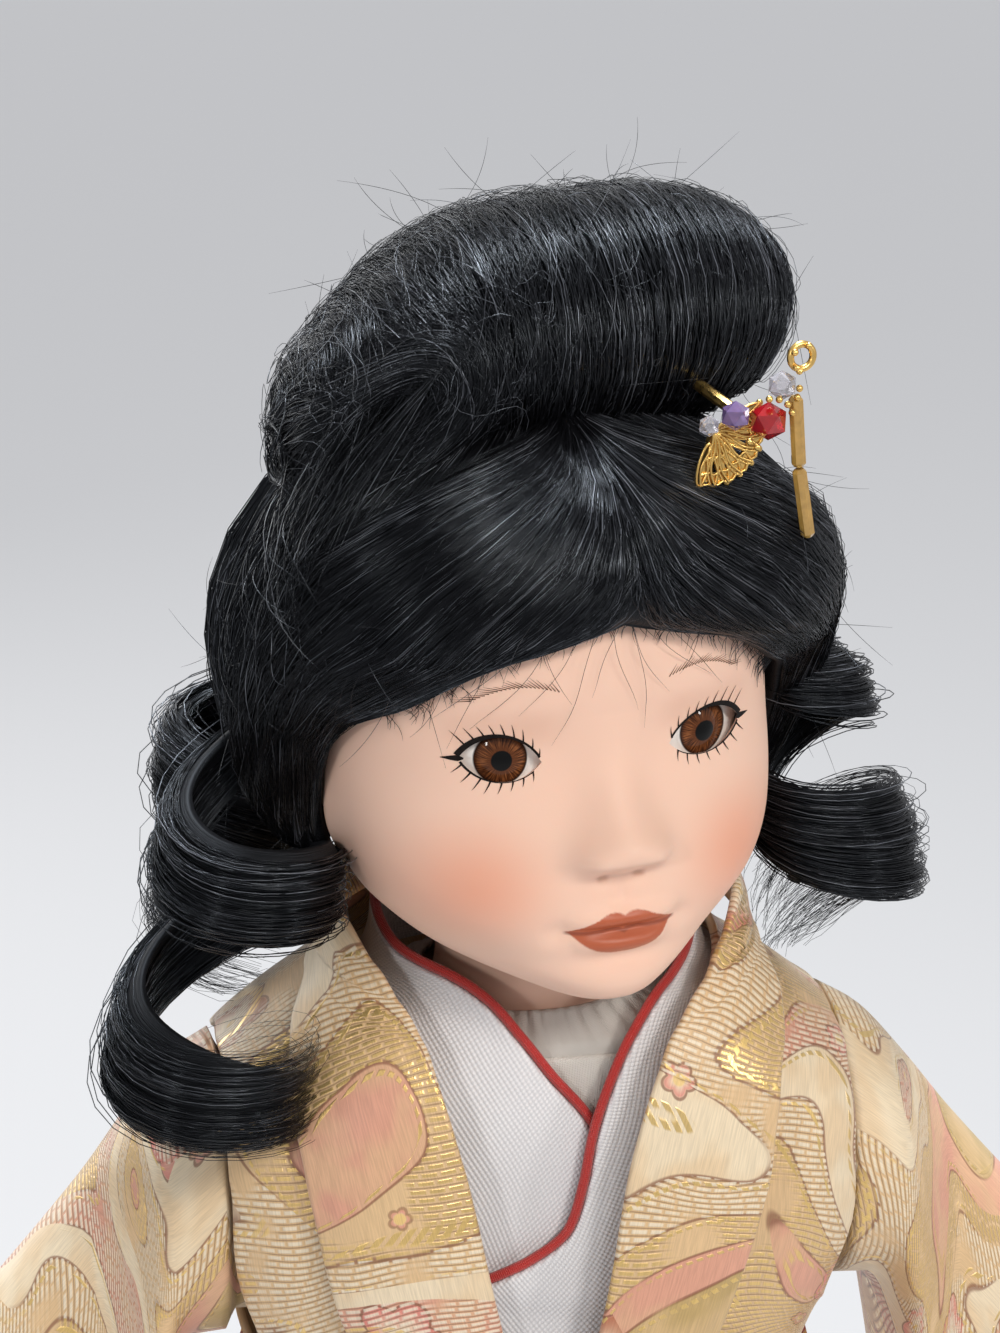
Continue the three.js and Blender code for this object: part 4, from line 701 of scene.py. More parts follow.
def almond(side, count=90):
    # upper and lower edge of an eye opening about its middle
    half, tall = side * head["eyeHalf"][side], head["eyeTall"]
    t = np.linspace(0, 1, count, endpoint=False)[:, None]
    curve = lambda a, b, c, d: (1 - t) ** 3 * a + 3 * (1 - t) ** 2 * t * b + 3 * (1 - t) * t**2 * c + t**3 * d
    inner, outer = np.array((-half, -0.5)), np.array((half, 0.6))
    over = np.array(((-half * 0.55, tall * 0.62), (half * 0.5, tall * 0.72)))
    under = np.array(((half * 0.6, -tall * 0.52), (-half * 0.5, -tall * 0.58)))
    return curve(inner, *over, outer), curve(outer, *under, inner)


def insideOutline(points, outline):
    a, b = outline, np.roll(outline, -1, axis=0)
    x, z = points[:, 0:1], points[:, 1:2]
    crosses = (a[:, 1] > z) != (b[:, 1] > z)
    tall = np.where(b[:, 1] == a[:, 1], 1e-9, b[:, 1] - a[:, 1])
    cut = a[:, 0] + (z - a[:, 1]) * (b[:, 0] - a[:, 0]) / tall
    return (crosses & (x < cut)).sum(1) % 2 == 1


def buildHead():
    angles = np.radians(np.concatenate([np.arange(-76, 76.5, 1.0), np.arange(80, 281, 4.0)]))
    rises = np.concatenate([np.arange(-14, -3, 1.0), np.arange(-3, 3, 0.25), np.arange(3, 46, 0.5),
                            np.arange(46, 63.01, 1.0)])
    angle, rise = (field.ravel() for field in np.meshgrid(angles, rises))
    faces = gridFaces(len(rises), len(angles), closed=True)
    # grid points near the rim of an eye opening are moved onto it
    x = skinRadius(angle, rise) * np.sin(angle)
    snapped = np.zeros(len(angle), bool)
    front = np.cos(angle) > 0.3
    outlines = [np.concatenate(almond(side)) + (side * head["eyeSide"], head["eyeRise"]) for side in (-1, 1)]
    for side, outline in zip((-1, 1), outlines):
        beside = (np.abs(x - side * head["eyeSide"]) < 8) & (np.abs(rise - head["eyeRise"]) < 6)
        close = np.flatnonzero(front & beside)
        gaps = np.linalg.norm(np.stack([x[close], rise[close]], 1)[:, None] - outline[None], axis=2)
        hit = gaps.min(1) < 0.34
        target = outline[gaps.argmin(1)[hit]]
        mine = close[hit]
        rise[mine] = target[:, 1]
        angle[mine] = faceAngle(target[:, 0], target[:, 1])
        snapped[mine] = True
    points = around(skinRadius(angle, rise), angle, rise + head["chin"])
    diagonal = snapped[faces[:, 1]] & snapped[faces[:, 3]]
    one = np.where(diagonal[:, None], faces[:, [0, 1, 3]], faces[:, [0, 1, 2]])
    two = np.where(diagonal[:, None], faces[:, [1, 2, 3]], faces[:, [0, 2, 3]])
    triangles = np.concatenate([one, two])
    middle = np.stack([points[:, 0], rise], 1)[triangles].mean(1)
    frontal = points[triangles][:, :, 1].mean(1) < -5
    within = insideOutline(middle, outlines[0]) | insideOutline(middle, outlines[1])
    triangles = triangles[~(within & frontal)]
    # walls of the eye openings
    edges = np.concatenate([triangles[:, [0, 1]], triangles[:, [1, 2]], triangles[:, [2, 0]]])
    unique, uses = np.unique(np.sort(edges, axis=1), axis=0, return_counts=True)
    rim = unique[(uses == 1) & snapped[unique].all(1)]
    ring = np.unique(rim)
    place = np.full(len(points), -1)
    place[ring] = len(points) + np.arange(len(ring))
    hand = np.where(points[ring, :1] < 0, -1, 1)
    middles = hand * (head["eyeSide"], 0) + (0, head["chin"] + head["eyeRise"])
    spread = unit(points[ring][:, [0, 2]] - middles) * 2.0
    deep = points[ring] + np.stack([spread[:, 0], np.full(len(ring), head["lidWall"]), spread[:, 1]], 1)
    walls = [[place[a], place[b], len(ring) + place[b], len(ring) + place[a]] for a, b in rim]
    allPoints = np.concatenate([points, points[ring], deep])
    uv = np.stack([allPoints[:, 0], allPoints[:, 2] - head["chin"]], 1) / faceSpan
    back = allPoints[:, 1] > 2
    uv[back, 0] = np.sign(uv[back, 0]) * 0.4
    obj = addMesh("head_skin", headTurned(allPoints), [*triangles.tolist(), *walls], skin, uv)
    settle(editMesh(obj, dropLoose), "head", "bisque", "head_shell")


def stroke(points, lift, wide):
    # a painted line on the face: points are (across, rise), wide its half width along the way
    points = np.asarray(points, float)
    way = np.gradient(points, axis=0)
    side = unit(np.stack([-way[:, 1], way[:, 0]], 1)) * np.asarray(wide)[:, None]
    both = np.concatenate([points + side, points - side])
    count = len(points)
    quads = [[i, i + 1, count + i + 1, count + i] for i in range(count - 1)]
    return onFace(both[:, 0], both[:, 1], lift), quads


def paintedLines(name, strokes, material):
    points, faces, total = [], [], 0
    for place, quads in strokes:
        points.append(place)
        faces += [[i + total for i in q] for q in quads]
        total += len(place)
    settle(addMesh(name, headTurned(np.concatenate(points)), faces, material), "head", "bisque")


lash = {"upper": {"count": 9, "length": (1.5, 2.9), "up": 1},
        "lower": {"count": 8, "length": (1.3, 1.9), "up": -1}, "lift": 0.05, "wide": 0.125,
        "lean": (-0.45, 0.95)}
brow = {"count": 22, "span": (8.2, 19.5), "rise": 9.3, "wide": 0.06}


def buildFacePaint():
    strokes, brows = [], []
    for side in (-1, 1):
        centre = np.array([side * head["eyeSide"], head["eyeRise"]])
        upper, lower = almond(side, 60)
        # the dark lid line, thicker and drawn out to a point at the outer corner
        line = upper[3:]
        normal = unit(np.stack([-np.gradient(line[:, 1]), np.gradient(line[:, 0])], 1)) * side
        wide = 0.17 + 0.23 * smooth(np.linspace(0, 1, len(line)), 0.2, 0.9)
        strokes.append(stroke(centre + line + normal * wide[:, None], lash["lift"], wide))
        wide = 0.07 + 0.10 * smooth(np.linspace(1, 0, 52), 0.3, 1)
        strokes.append(stroke(centre + lower[2:-6] + (0, -0.07), lash["lift"], wide))
        wing = np.array([[-0.7, 0.60], [0.0, 0.64], [0.9, 0.62], [2.1, 0.62]]) + (head["eyeHalf"][side], 0)
        strokes.append(stroke(centre + wing * (side, 1), lash["lift"] + 0.01, [0.10, 0.46, 0.32, 0.03]))
        s = np.linspace(0, 1, 6)[:, None]
        for row, edge in (("upper", upper), ("lower", lower)):
            count, up = lash[row]["count"], lash[row]["up"]
            for k in range(count):
                t = (k + 0.6) / count * 0.94
                outer = t if up > 0 else 1 - t
                way = unit(np.array([lerp(*lash["lean"], outer) * side, up]))
                length = lerp(*lash[row]["length"], outer) * (1 + 0.15 * math.sin(7.3 * k + side))
                curl = np.array([0.35 * side, 0.10 * up]) * s**2
                path = centre + edge[int(t * 59)] + way * s * length + curl
                wide = lash["wide"] * (1 - s[:, 0]) ** 0.8 + 0.012
                strokes.append(stroke(path, lash["lift"] + 0.01, wide))
        s = np.linspace(0, 1, 5)[:, None]
        for k in range(brow["count"]):
            t = k / (brow["count"] - 1)
            rise = head["eyeRise"] + brow["rise"] + 2.6 * math.sin(2.2 * t + 0.35) - 1.6 * t
            reach = 2.2 + 0.7 * math.sin(5.1 * k)
            way = np.array([side * lerp(0.55, 1.0, t), lerp(0.75, -0.15, t)])
            path = np.array([side * lerp(*brow["span"], t), rise]) + way * s * reach
            brows.append(stroke(path, lash["lift"], brow["wide"] * (1 - s[:, 0]) + 0.012))
    paintedLines("lash_lines", strokes, lashPaint)
    paintedLines("brow_lines", brows, browPaint)


eyeball = {"reach": 11.5, "sink": 0.28, "dome": 6.5, "iris": 4.0, "slope": 0.13, "thick": 3.2, "gaze": -12}


def buildEyes():
    # domed lenses seated close behind the openings
    reach = np.concatenate([np.linspace(0.2, 4, 20), np.linspace(4.4, eyeball["reach"], 16)])
    spin = np.linspace(0, fullTurn, 64, endpoint=False)
    r, s = np.meshgrid(reach, spin, indexing="ij")
    domed = np.minimum(r, eyeball["iris"])
    sink = eyeball["sink"] + domed**2 / (2 * eyeball["dome"]) + eyeball["slope"] * (r - domed)
    gaze = math.radians(eyeball["gaze"])
    for side, name in bothSides:
        x = side * head["eyeSide"] + r * np.cos(s)
        rise = head["eyeRise"] + r * np.sin(s)
        outer, inner = onFace(x, rise, -sink), onFace(x, rise, -sink - eyeball["thick"])
        place = np.concatenate([outer, inner[::-1]])
        away = place - outer[0].mean(0)
        aside = away[..., 0] * math.cos(gaze) + away[..., 1] * math.sin(gaze)
        uv = np.stack([aside, away[..., 2]], -1) / eyeSpan
        obj = addMesh(name + "_glass_eye", headTurned(place), cappedFaces(*place.shape[:2]), eyeGlass, uv)
        settle(editMesh(obj), "head", "eye_glass", name + "_eye")


buildHead()
buildFacePaint()
buildEyes()
print("head done")


# Strands: polylines with a thickness, wound into thin tubes by one node tree
# the last entry is the share of strands painted lighter as painted glints
wig = {"inside": 1.8, "side": 10, "top": 5, "edge": 1.2, "strand": 0.098, "fine": 0.05, "paintedGlint": 0.19}
# number of strands and of points along each, and the number of locks that they hang in
hairs = {"front": (1100, 16), "back": (1100, 14), "crown": (900, 10), "frizz": (520, 12),
         "topknotFrizz": (760, 13), "fall": (420, 16), "roll": (1200, 17), "swirl": (640, 20),
         "loose": (320, 12), "hairline": (300, 12), "frontLocks": 70, "curlLocks": 40}


def strandTree():
    tree = bpy.data.node_groups.new("strands", "GeometryNodeTree")
    kinds = {"start": "NodeGroupInput", "curve": "GeometryNodeMeshToCurve",
             "radius": "GeometryNodeSetCurveRadius", "thick": "GeometryNodeInputNamedAttribute",
             "circle": "GeometryNodeCurvePrimitiveCircle", "tube": "GeometryNodeCurveToMesh",
             "soft": "GeometryNodeSetShadeSmooth", "real": "GeometryNodeRealizeInstances",
             "paint": "GeometryNodeSetMaterial", "end": "NodeGroupOutput"}
    sockets = {}
    for name, way, kind in (("Geometry", "INPUT", "Geometry"), ("Sides", "INPUT", "Int"),
                            ("Material", "INPUT", "Material"), ("Geometry", "OUTPUT", "Geometry")):
        sockets[name] = tree.interface.new_socket(name, in_out=way, socket_type="NodeSocket" + kind)
    made = {key: tree.nodes.new(kind) for key, kind in kinds.items()}
    made["thick"].data_type = "FLOAT"
    made["thick"].inputs["Name"].default_value = "thick"
    made["circle"].inputs["Radius"].default_value = 1.0
    made["tube"].inputs["Fill Caps"].default_value = True
    links = (("start", "Geometry", "curve", "Mesh"), ("curve", "Curve", "radius", "Curve"),
             ("thick", 0, "radius", "Radius"), ("start", "Sides", "circle", "Resolution"),
             ("radius", "Curve", "tube", "Curve"), ("thick", 0, "tube", "Scale"),
             ("circle", "Curve", "tube", "Profile Curve"), ("tube", "Mesh", "soft", "Geometry"),
             ("soft", "Geometry", "real", "Geometry"), ("real", "Geometry", "paint", "Geometry"),
             ("start", "Material", "paint", "Material"), ("paint", "Geometry", "end", "Geometry"))
    for source, out, target, into in links:
        tree.links.new(made[source].outputs[out], made[target].inputs[into])
    return tree, sockets["Sides"].identifier, sockets["Material"].identifier


strandNodes, sidesSocket, paintSocket = strandTree()


def evenly(low, high, count):
    return random.uniform(low, high, (count, 1))


def bell(spread, count, middle=0):
    return random.normal(middle, spread, (count, 1))


def strands(name, paths, thick, slot, material, corners=3):
    # paths: one array (count, points, 3) in the head's own axes; thick: radii of the same shape
    count, points = paths.shape[:2]
    index = np.arange(count * points).reshape(count, points)
    edges = np.stack([index[:, :-1].ravel(), index[:, 1:].ravel()], 1)
    mesh = bpy.data.meshes.new(name)
    mesh.from_pydata((headTurned(paths).reshape(-1, 3) * mm).tolist(), edges.tolist(), [])
    # tone: most strands dark at random, a share of them painted lighter as painted glints
    dice = evenly(0, 1, count)
    tone = np.where(dice > 1 - wig["paintedGlint"], evenly(0.45, 1, count), 0.2 * dice)
    for key, values in (("thick", thick * mm), ("tone", tone)):
        attribute = mesh.attributes.new(key, "FLOAT", "POINT")
        spread = np.broadcast_to(values, (count, points)).astype(np.float32)
        attribute.data.foreach_set("value", spread.ravel())
    obj = newObject(name + ".lines", mesh)
    wound = obj.modifiers.new("strands", "NODES")
    wound.node_group = strandNodes
    wound[sidesSocket] = corners
    wound[paintSocket] = material
    made = plainCopy(obj, name)
    if "thick" in made.data.attributes:
        made.data.attributes.remove(made.data.attributes["thick"])
    return settle(made, "head", slot)


def hair(name, paths, radius=wig["strand"], root=0.8, tip=0.35):
    # strands that thin towards both ends
    t = np.linspace(0, 1, paths.shape[1])
    thick = radius * np.minimum(root + (1 - root) * t / 0.15, 1) * (1 - (1 - tip) * smooth(t, 0.7, 1))
    strands(name, paths, thick, "hair", hairStrand)


# Wig: a dark under-form and the combed hair over it
hairlineAt = curveThrough([(0, 57), (25, 53.5), (48, 46), (66, 40), (73, 32), (81, 18), (110, 15), (180, 14)])


def wigPoint(turnDeg, down, lift):
    turn = np.abs((turnDeg + 180) % 360 - 180)
    side = smooth(turn, 8, 60)
    wave = 1 + 0.12 * np.cos(np.radians(turn * 9)) * (1 - side * 0.5)
    body = lerp(wig["top"] + 1.5, wig["side"], side) * wave
    swell = np.sin(np.pi * np.minimum(1, 0.18 + down * 0.86)) ** 0.8
    thick = np.maximum(wig["edge"], lerp(wig["top"], body * swell, smooth(down, 0.05, 0.4)))
    drop = np.sin(np.clip(down, 0, 1) * np.pi / 2) ** 1.15
    rise = lerp(head["height"] - 0.6, hairlineAt(turn), drop)
    return skullPoint(np.radians(turnDeg), rise, wig["inside"] + thick * lift)


def buildWigBase():
    turn = np.concatenate([np.arange(-80, 80, 2.0), np.arange(80, 280, 4.0)])
    down = np.concatenate([np.linspace(0.01, 0.9, 34), np.linspace(0.92, 1, 7)])
    d, t = np.meshgrid(down, turn, indexing="ij")
    points = np.concatenate([wigPoint(t, d, 0.80 + 0 * t), wigPoint(t, d, -0.10 + 0 * t)[::-1]])
    uv = np.stack([t / 100, d], -1)
    uv = np.concatenate([uv, uv[::-1]])
    obj = addMesh("wig_base", headTurned(points), cappedFaces(*points.shape[:2]), hairMass, uv)
    settle(editMesh(obj), "head", "hair", "wig_cap")


# the combed fan: (turn, down) places along a strand from the crown to the hairline, in rows that go from
# the middle of the forehead back to the ear
fan = np.array([
    [(0.1, 0.05), (0.6, 0.30), (1.6, 0.55), (3.5, 0.74), (7, 0.87), (11, 0.94), (16, 0.975), (23, 0.99)],
    [(0.2, 0.05), (1.8, 0.34), (6, 0.62), (17, 0.84), (36, 0.93), (54, 0.965), (68, 0.98), (78, 0.99)],
    [(0.5, 0.05), (4.5, 0.30), (14, 0.55), (30, 0.74), (46, 0.85), (61, 0.92), (72, 0.965), (83, 0.99)],
    [(0.8, 0.05), (8, 0.24), (21, 0.42), (38, 0.58), (55, 0.72), (69, 0.85), (79, 0.94), (87, 0.99)],
    [(1, 0.05), (12, 0.17), (28, 0.29), (48, 0.43), (66, 0.58), (79, 0.75), (88, 0.89), (95, 0.99)],
    [(1, 0.05), (15, 0.11), (36, 0.18), (60, 0.29), (79, 0.44), (92, 0.63), (98, 0.82), (103, 0.99)]])


def combed(q, points, spread):
    # places along the fan for shares q of the way from the middle of the forehead back to the ear
    dense = np.stack([throughPoints(row, points) for row in fan])
    q = np.clip(q, 0, 1) * (len(fan) - 1)
    low = np.minimum(q.astype(int), len(fan) - 2)
    f = (q - low)[:, None, None]
    path = dense[low] * (1 - f) + dense[low + 1] * f
    s = np.linspace(0, 1, points)
    turn = path[..., 0] + spread * bell(1, len(q)) * (0.4 + s)
    return turn, path[..., 1] + 0.012 * spread * bell(1, len(q)), s


def buildFrontHair():
    count, points = hairs["front"]
    locks = hairs["frontLocks"]
    for side, name in bothSides:
        for part, depth in (("under", -0.06), ("over", 0.03)):
            lock = np.sort(random.uniform(0, 1, locks)) ** 0.9
            which = random.integers(0, locks, count)
            q = lock[which] + random.normal(0, 0.008, count)
            turn, down, s = combed(q, points, 0.5)
            phase = evenly(0, phaseSpan, locks)[which]
            pace = evenly(6, 12, locks)[which]
            turn = turn + 1.2 * np.sin(phase + pace * s) * s
            down = down + 0.012 * np.sin(1.7 * phase + 0.8 * pace * s) * smooth(s, 0.1, 0.4)
            lift = 0.97 + depth + evenly(-0.05, 0.09, locks)[which] + bell(0.035, count)
            lift = lift + 0.05 * np.cos(phase + pace * s)
            lift = lift - 0.14 * smooth(s, 0.10, 0) - 0.10 * smooth(s, 0.85, 1)
            loose = bell(1, count) * 1.6 * (1 - smooth(s, 0, 0.12))
            place = wigPoint(side * (turn + loose), np.clip(down, 0.02, 1.0), lift)
            hair("front_hair_%s_%s" % (name, part), place)


def buildBackHair():
    count, points = hairs["back"]
    turn0 = (np.linspace(84, 276, count) + random.normal(0, 0.4, count))[:, None]
    s = np.linspace(0, 1, points)
    turn = turn0 + 2.2 * np.sin(5 * s + turn0 / 7) * s + bell(0.6, count)
    down = lerp(0.03, 0.995, s)[None] + bell(0.006, count)
    lift = 0.96 + 0.05 * np.sin(turn0 / 2.1) + bell(0.035, count) + 0 * s
    hair("back_hair", wigPoint(turn, np.clip(down, 0.02, 1), lift))
    # crown hair drawn up under the topknot
    count, points = hairs["crown"]
    turn = np.linspace(-86, 86, count)[:, None] + bell(1.2, count)
    s = np.linspace(0, 1, points)
    reach = lerp(0.06, 0.36, smooth(np.abs(turn), 4, 80)) + bell(0.02, count)
    down = lerp(0.015, reach, s)
    lift = 0.93 + bell(0.04, count) + 0.03 * np.sin(turn / 1.7) + 0 * s
    bend = turn + 7 * np.sign(turn) * s * smooth(np.abs(turn), 0, 30)
    hair("crown_hair", wigPoint(bend, down, lift))


def buildFrizz():
    # fine stray hairs lying over the combed ones
    count, points = hairs["frizz"]
    for side, name in bothSides:
        turn, down, s = combed(random.uniform(0, 1, count), points, 2.2)
        wave = evenly(0, phaseSpan, count)
        turn = turn + 3.0 * np.sin(wave + evenly(4, 9, count) * s) + 4 * bell(1, count) * s**2
        down = down + 0.03 * np.sin(1.3 * wave + 5 * s)
        lift = 1.03 + evenly(0, 0.20, count) * np.sin(math.pi * s)
        place = wigPoint(side * turn, np.clip(down, 0.03, 0.995), lift)
        hair("front_frizz_" + name, place, wig["fine"], 0.6, 0.5)
    count, points = hairs["topknotFrizz"]
    s = np.linspace(0, 1, points)
    t0 = np.where(evenly(0, 1, count) < 0.6, evenly(-1, 0, count), evenly(-0.95, 0.95, count))
    wave = evenly(0, phaseSpan, count)
    begin = evenly(60, 250, count)
    angle = begin - evenly(40, 130, count) * s + 9 * np.sin(1.4 * wave + 7 * s)
    drift = np.where(t0 < 0, 0.16, 0.08) * bell(1, count)
    t = np.clip(t0 + 0.05 * np.sin(wave + 6 * s) + drift * s**1.5, -0.99, 0.99)
    lift = 0.3 + evenly(0.2, 2.0, count) * np.sin(math.pi * s) ** 0.8
    hair("topknot_frizz", knotPoint(t, angle, lift), wig["fine"], 0.6, 0.5)
    # the lock that falls from the right end of the roll into the side hair
    count, points = hairs["fall"]
    s = np.linspace(0, 1, points)[None, :, None]
    even = lambda low, high: random.uniform(low, high, count)
    off = lambda middle, spread: random.normal(middle, spread, count)
    first = knotPoint(even(-0.99, -0.55), even(150, 285), off(0.3, 0.5))
    last = wigPoint(even(-104, -58), even(0.34, 0.72), 1.02 + off(0, 0.05))
    bulge = np.stack([-even(2, 8), off(-2, 2), off(-1, 2.5)], 1)
    wave = random.uniform(0, phaseSpan, (count, 1, 1))
    swing = unit(random.normal(0, 1, (count, 3)))[:, None] * 0.7 * np.sin(wave + 9 * s)
    path = lerp(first[:, None], last[:, None], s) + bulge[:, None] * 4 * s * (1 - s)
    hair("topknot_fall", path + swing * np.sin(math.pi * s), 0.08, 0.7, 0.4)


# Topknot: strands run round the roll from its front foot over the top; its right end is a hollow swirl
knot = {"aside": 5, "length": 36, "deep": 22, "high": 17, "middle": head["chin"] + head["height"] + 13,
        "swirlAt": -0.75, "swirlAngle": 180.0}
knotHeight = curveThrough([(-1, 0.10), (-0.95, 0.44), (-0.88, 0.66), (-0.6, 0.90), (-0.15, 1), (0.35, 1),
                           (0.7, 0.84), (0.92, 0.52), (1, 0.2)])


def knotPoint(t, angleDeg, lift):
    a = np.radians(angleDeg)
    h = knotHeight(t)
    sweep = np.radians((angleDeg - knot["swirlAngle"] + 180) % 360 - 180) * knot["high"] * h
    apart = np.hypot((t - knot["swirlAt"]) * knot["length"], sweep)
    dent = 1.2 * hill(apart, 8, 2.6) - 6.0 * hill(apart, 0, 3.8)
    reach = h + (lift + dent) / 19
    fall = smooth(-t, 0.3, 1.05)
    ends = 0.9 * (lift + dent) * smooth(np.abs(t), 0.75, 1) * np.sign(t)
    x = knot["aside"] + knot["length"] * t + ends - 5 * fall
    y = 3 + 2 * t * t + knot["deep"] * reach * np.cos(a) - 3 * fall
    z = knot["middle"] + 3 * t - 2.5 * t * t + knot["high"] * reach * np.sin(a) - 10 * fall**1.4
    return np.stack(np.broadcast_arrays(x, y, z), -1)


def buildTopknot():
    along = np.sin(np.linspace(-math.pi / 2, math.pi / 2, 60))
    t, a = np.meshgrid(along, np.arange(0, 360, 4.0), indexing="ij")
    uv = np.stack([t * 0.36, a / 360], -1)
    place = headTurned(knotPoint(t * 0.97, a, -1.3))
    obj = addMesh("topknot_base", place, cappedFaces(*t.shape), hairMass, uv)
    settle(editMesh(obj), "head", "hair", "wig_topknot")
    swirlAt, swirlAngle = knot["swirlAt"], knot["swirlAngle"]
    count, points = hairs["roll"]
    s = np.linspace(0, 1, points)
    for k, name in enumerate(("low", "high")):
        t0 = (np.linspace(-0.985, 0.985, count) + random.normal(0, 0.008, count))[:, None]
        lock = softNoise(t0 * 31 + k, t0 * 77)
        phase = 30 * softNoise(t0 * 24 + 2 * k)
        angle = lerp(246, -58, s)[None] + bell(5, count)
        fanned = t0 * lerp(0.80, 1.0, smooth(s, 0, 0.3)) + 0.012 * np.sin(6 * s + 9 * t0)
        beside = hill(fanned, swirlAt, 0.22) * hill(angle, swirlAngle, 36)
        fanned = fanned + 0.14 * beside * np.sign(t0 - swirlAt)
        lift = (-0.5 + 0.75 * k) + 0.45 * lock + bell(0.22, count) - 1.2 * smooth(s, 0.06, 0)
        lift = lift + 0.4 * np.sin(10 * s + phase)
        fanned = fanned + 0.012 * np.sin(8 * s + phase) * lerp(1, 3, smooth(-t0, -0.2, 0.8))
        hair("topknot_hair_" + name, knotPoint(np.clip(fanned, -0.995, 0.995), angle, lift))
    count, points = hairs["swirl"]
    s = np.linspace(0, 1, points)
    begin = evenly(0, fullTurn, count)
    reach = lerp(evenly(8, 14.5, count), evenly(1.6, 6.5, count), s**0.9)
    spin = begin + evenly(3.2, 5.4, count) * s
    t = np.clip(swirlAt + reach * np.cos(spin) / knot["length"], -0.99, 0.9)
    angle = swirlAngle + np.degrees(reach * np.sin(spin) / (knot["high"] * knotHeight(t)))
    hair("topknot_swirl", knotPoint(t, angle, bell(0.3, count, 0.45) + 0 * s))


# Ringlets: ribbons of hair wound round a falling axis, slow across the front and quick behind
curls = {"reach": 49, "hang": 9, "strand": 0.094, "slow": 0.6, "rows": 100, "columns": 11}
frontCurls = {
    "right": {"path": [(-37, 2, 40), (-42, -4, 30), (-46, -8, 17), (-52.5, -9, -8), (-53.5, -9, -17)],
              "radius": (12.8, 15.0), "turns": 2.1, "phase": 0.0, "wide": (13, 18), "amount": (480, 46)},
    "left": {"path": [(39, 1, 39), (41, -5, 33), (43, -7, 26), (47.6, -8, 7.5), (50.5, -9, -6)],
             "radius": (11.8, 13.4), "turns": 1.85, "phase": math.pi, "wide": (12, 20), "amount": (480, 42)}}
backCurl = {"radius": (11.2, 12.2), "turns": 2.1, "wide": (14, 18), "amount": (280, 32)}


def buildCurl(name, node, path, front, radius, turns, phase, wide, amount):
    axis = throughPoints(np.array(path) + (0, 0, head["chin"]), 240)
    run = lengths(axis, 0)
    axis = np.stack([np.interp(np.linspace(0, run[-1], 80), run, axis[:, k]) for k in range(3)], 1)
    length = lengths(axis, 0)[-1]

    def ribbonPoint(s, aside, rise):
        # s along the axis, aside the place across the ribbon in millimetres up the axis
        wind = phase + fullTurn * turns * s
        lag = curls["slow"] * (np.sin(wind - front) - math.sin(phase - front)) / (fullTurn * turns)
        at = np.clip(s - lag * smooth(s, 0, 0.15) + aside / length, -0.05, 1.12) * (len(axis) - 1)
        i = np.clip(at.astype(int), 0, len(axis) - 2)
        f = (at - i)[..., None]
        centre = axis[i] * (1 - f) + axis[i + 1] * f
        r = lerp(*radius, smooth(s, 0.1, 1)) * lerp(0.45, 1, smooth(s, -0.05, 0.25)) + rise
        return centre + np.stack([r * np.cos(wind), r * np.sin(wind), 0 * wind], -1)

    # the under-form, a thin ribbon
    rows, columns = curls["rows"], curls["columns"]
    s = np.linspace(0, 0.97, rows)[:, None]
    across = np.linspace(-1, 1, columns)[None]
    curve = 1.3 * across**2
    edge = np.sqrt(np.maximum(0, 1 - across**8))
    broad = lambda s: lerp(*wide, smooth(s, 0.2, 0.9)) * lerp(0.7, 1, smooth(s, 0, 0.2))
    aside = across * broad(s) * 0.43 * (1 - 0.94 * smooth(s, 0.74, 0.96))
    wound = lambda rise: ribbonPoint(s + 0 * across, aside, rise).reshape(-1, 3)
    points = np.concatenate([wound(-0.9 - curve + 0.5 * edge), wound(-1.9 - curve - 0.5 * edge)])
    uv = np.stack(np.broadcast_arrays(across * 0.12, s), -1)
    faces = gridFaces(rows, columns)
    total = rows * columns
    grid = np.arange(total).reshape(rows, columns)
    rim = [(line[i], line[i + 1], total + line[i + 1], total + line[i])
           for line in (grid[:, 0], grid[:, -1], grid[0], grid[-1]) for i in range(len(line) - 1)]
    skins = [*faces.tolist(), *(faces + total)[:, ::-1].tolist(), *np.array(rim).tolist()]
    obj = addMesh(name + "_base", headTurned(points), skins, hairMass, np.concatenate([uv, uv]))
    settle(editMesh(obj), "head", "hair", node)
    # its hair, in locks, with some strays
    count, points = amount
    locks = hairs["curlLocks"]
    lock = random.uniform(-1, 1, locks)
    which = random.integers(0, locks, count)
    a0 = np.clip(lock[which] + random.normal(0, 0.045, count), -1.05, 1.05)[:, None]
    s = np.linspace(0, 1, points)[None] * evenly(0.86, 1.06, count) - evenly(0, 0.03, count)
    phases = evenly(0, phaseSpan, locks)[which]
    lift = bell(0.4, count, 0.1) + bell(0.45, locks)[which] - 1.3 * a0**2
    lift = lift + 0.45 * np.sin(phases + 7 * s) + 1.6 * bell(0.8, count, 0.2) * smooth(s, 0.86, 1.05)
    stray = evenly(0, 1, count) < 0.13
    own = evenly(0, phaseSpan, count)
    lift = lift + np.where(stray, 0.9 + 1.3 * np.sin(own + 5 * s), 0)
    behind = evenly(0, 1, count) < 0.28
    lift = np.where(behind, lift - 2.4, lift)
    aside = a0 * broad(s) * 0.5 + 0.5 * np.sin(phases + 8 * s)
    aside = aside + np.where(stray, 2.2 * np.sin(2 * own + 4 * s), 0)
    aside = aside + 3.0 * bell(0.6, count) * smooth(s, 0.82, 1.05)
    hair(name + "_hair", ribbonPoint(s, aside, lift), curls["strand"])


def buildCurls():
    for name, curl in frontCurls.items():
        buildCurl(name + "_ringlet", name + "_front_curl", front=-math.pi / 2, **curl)
    for angle, name in ((-132, "right_back"), (132, "left_back"), (180, "nape")):
        a = math.radians(angle)
        far = curls["reach"]
        path = [(r * math.sin(a), -r * math.cos(a), z) for r, z in
                ((far - 8, 40), (far - 2, 24), (far, 8), (far, -curls["hang"]))]
        buildCurl(name + "_ringlet", name + "_curl", path, front=a - math.pi / 2, phase=a, **backCurl)


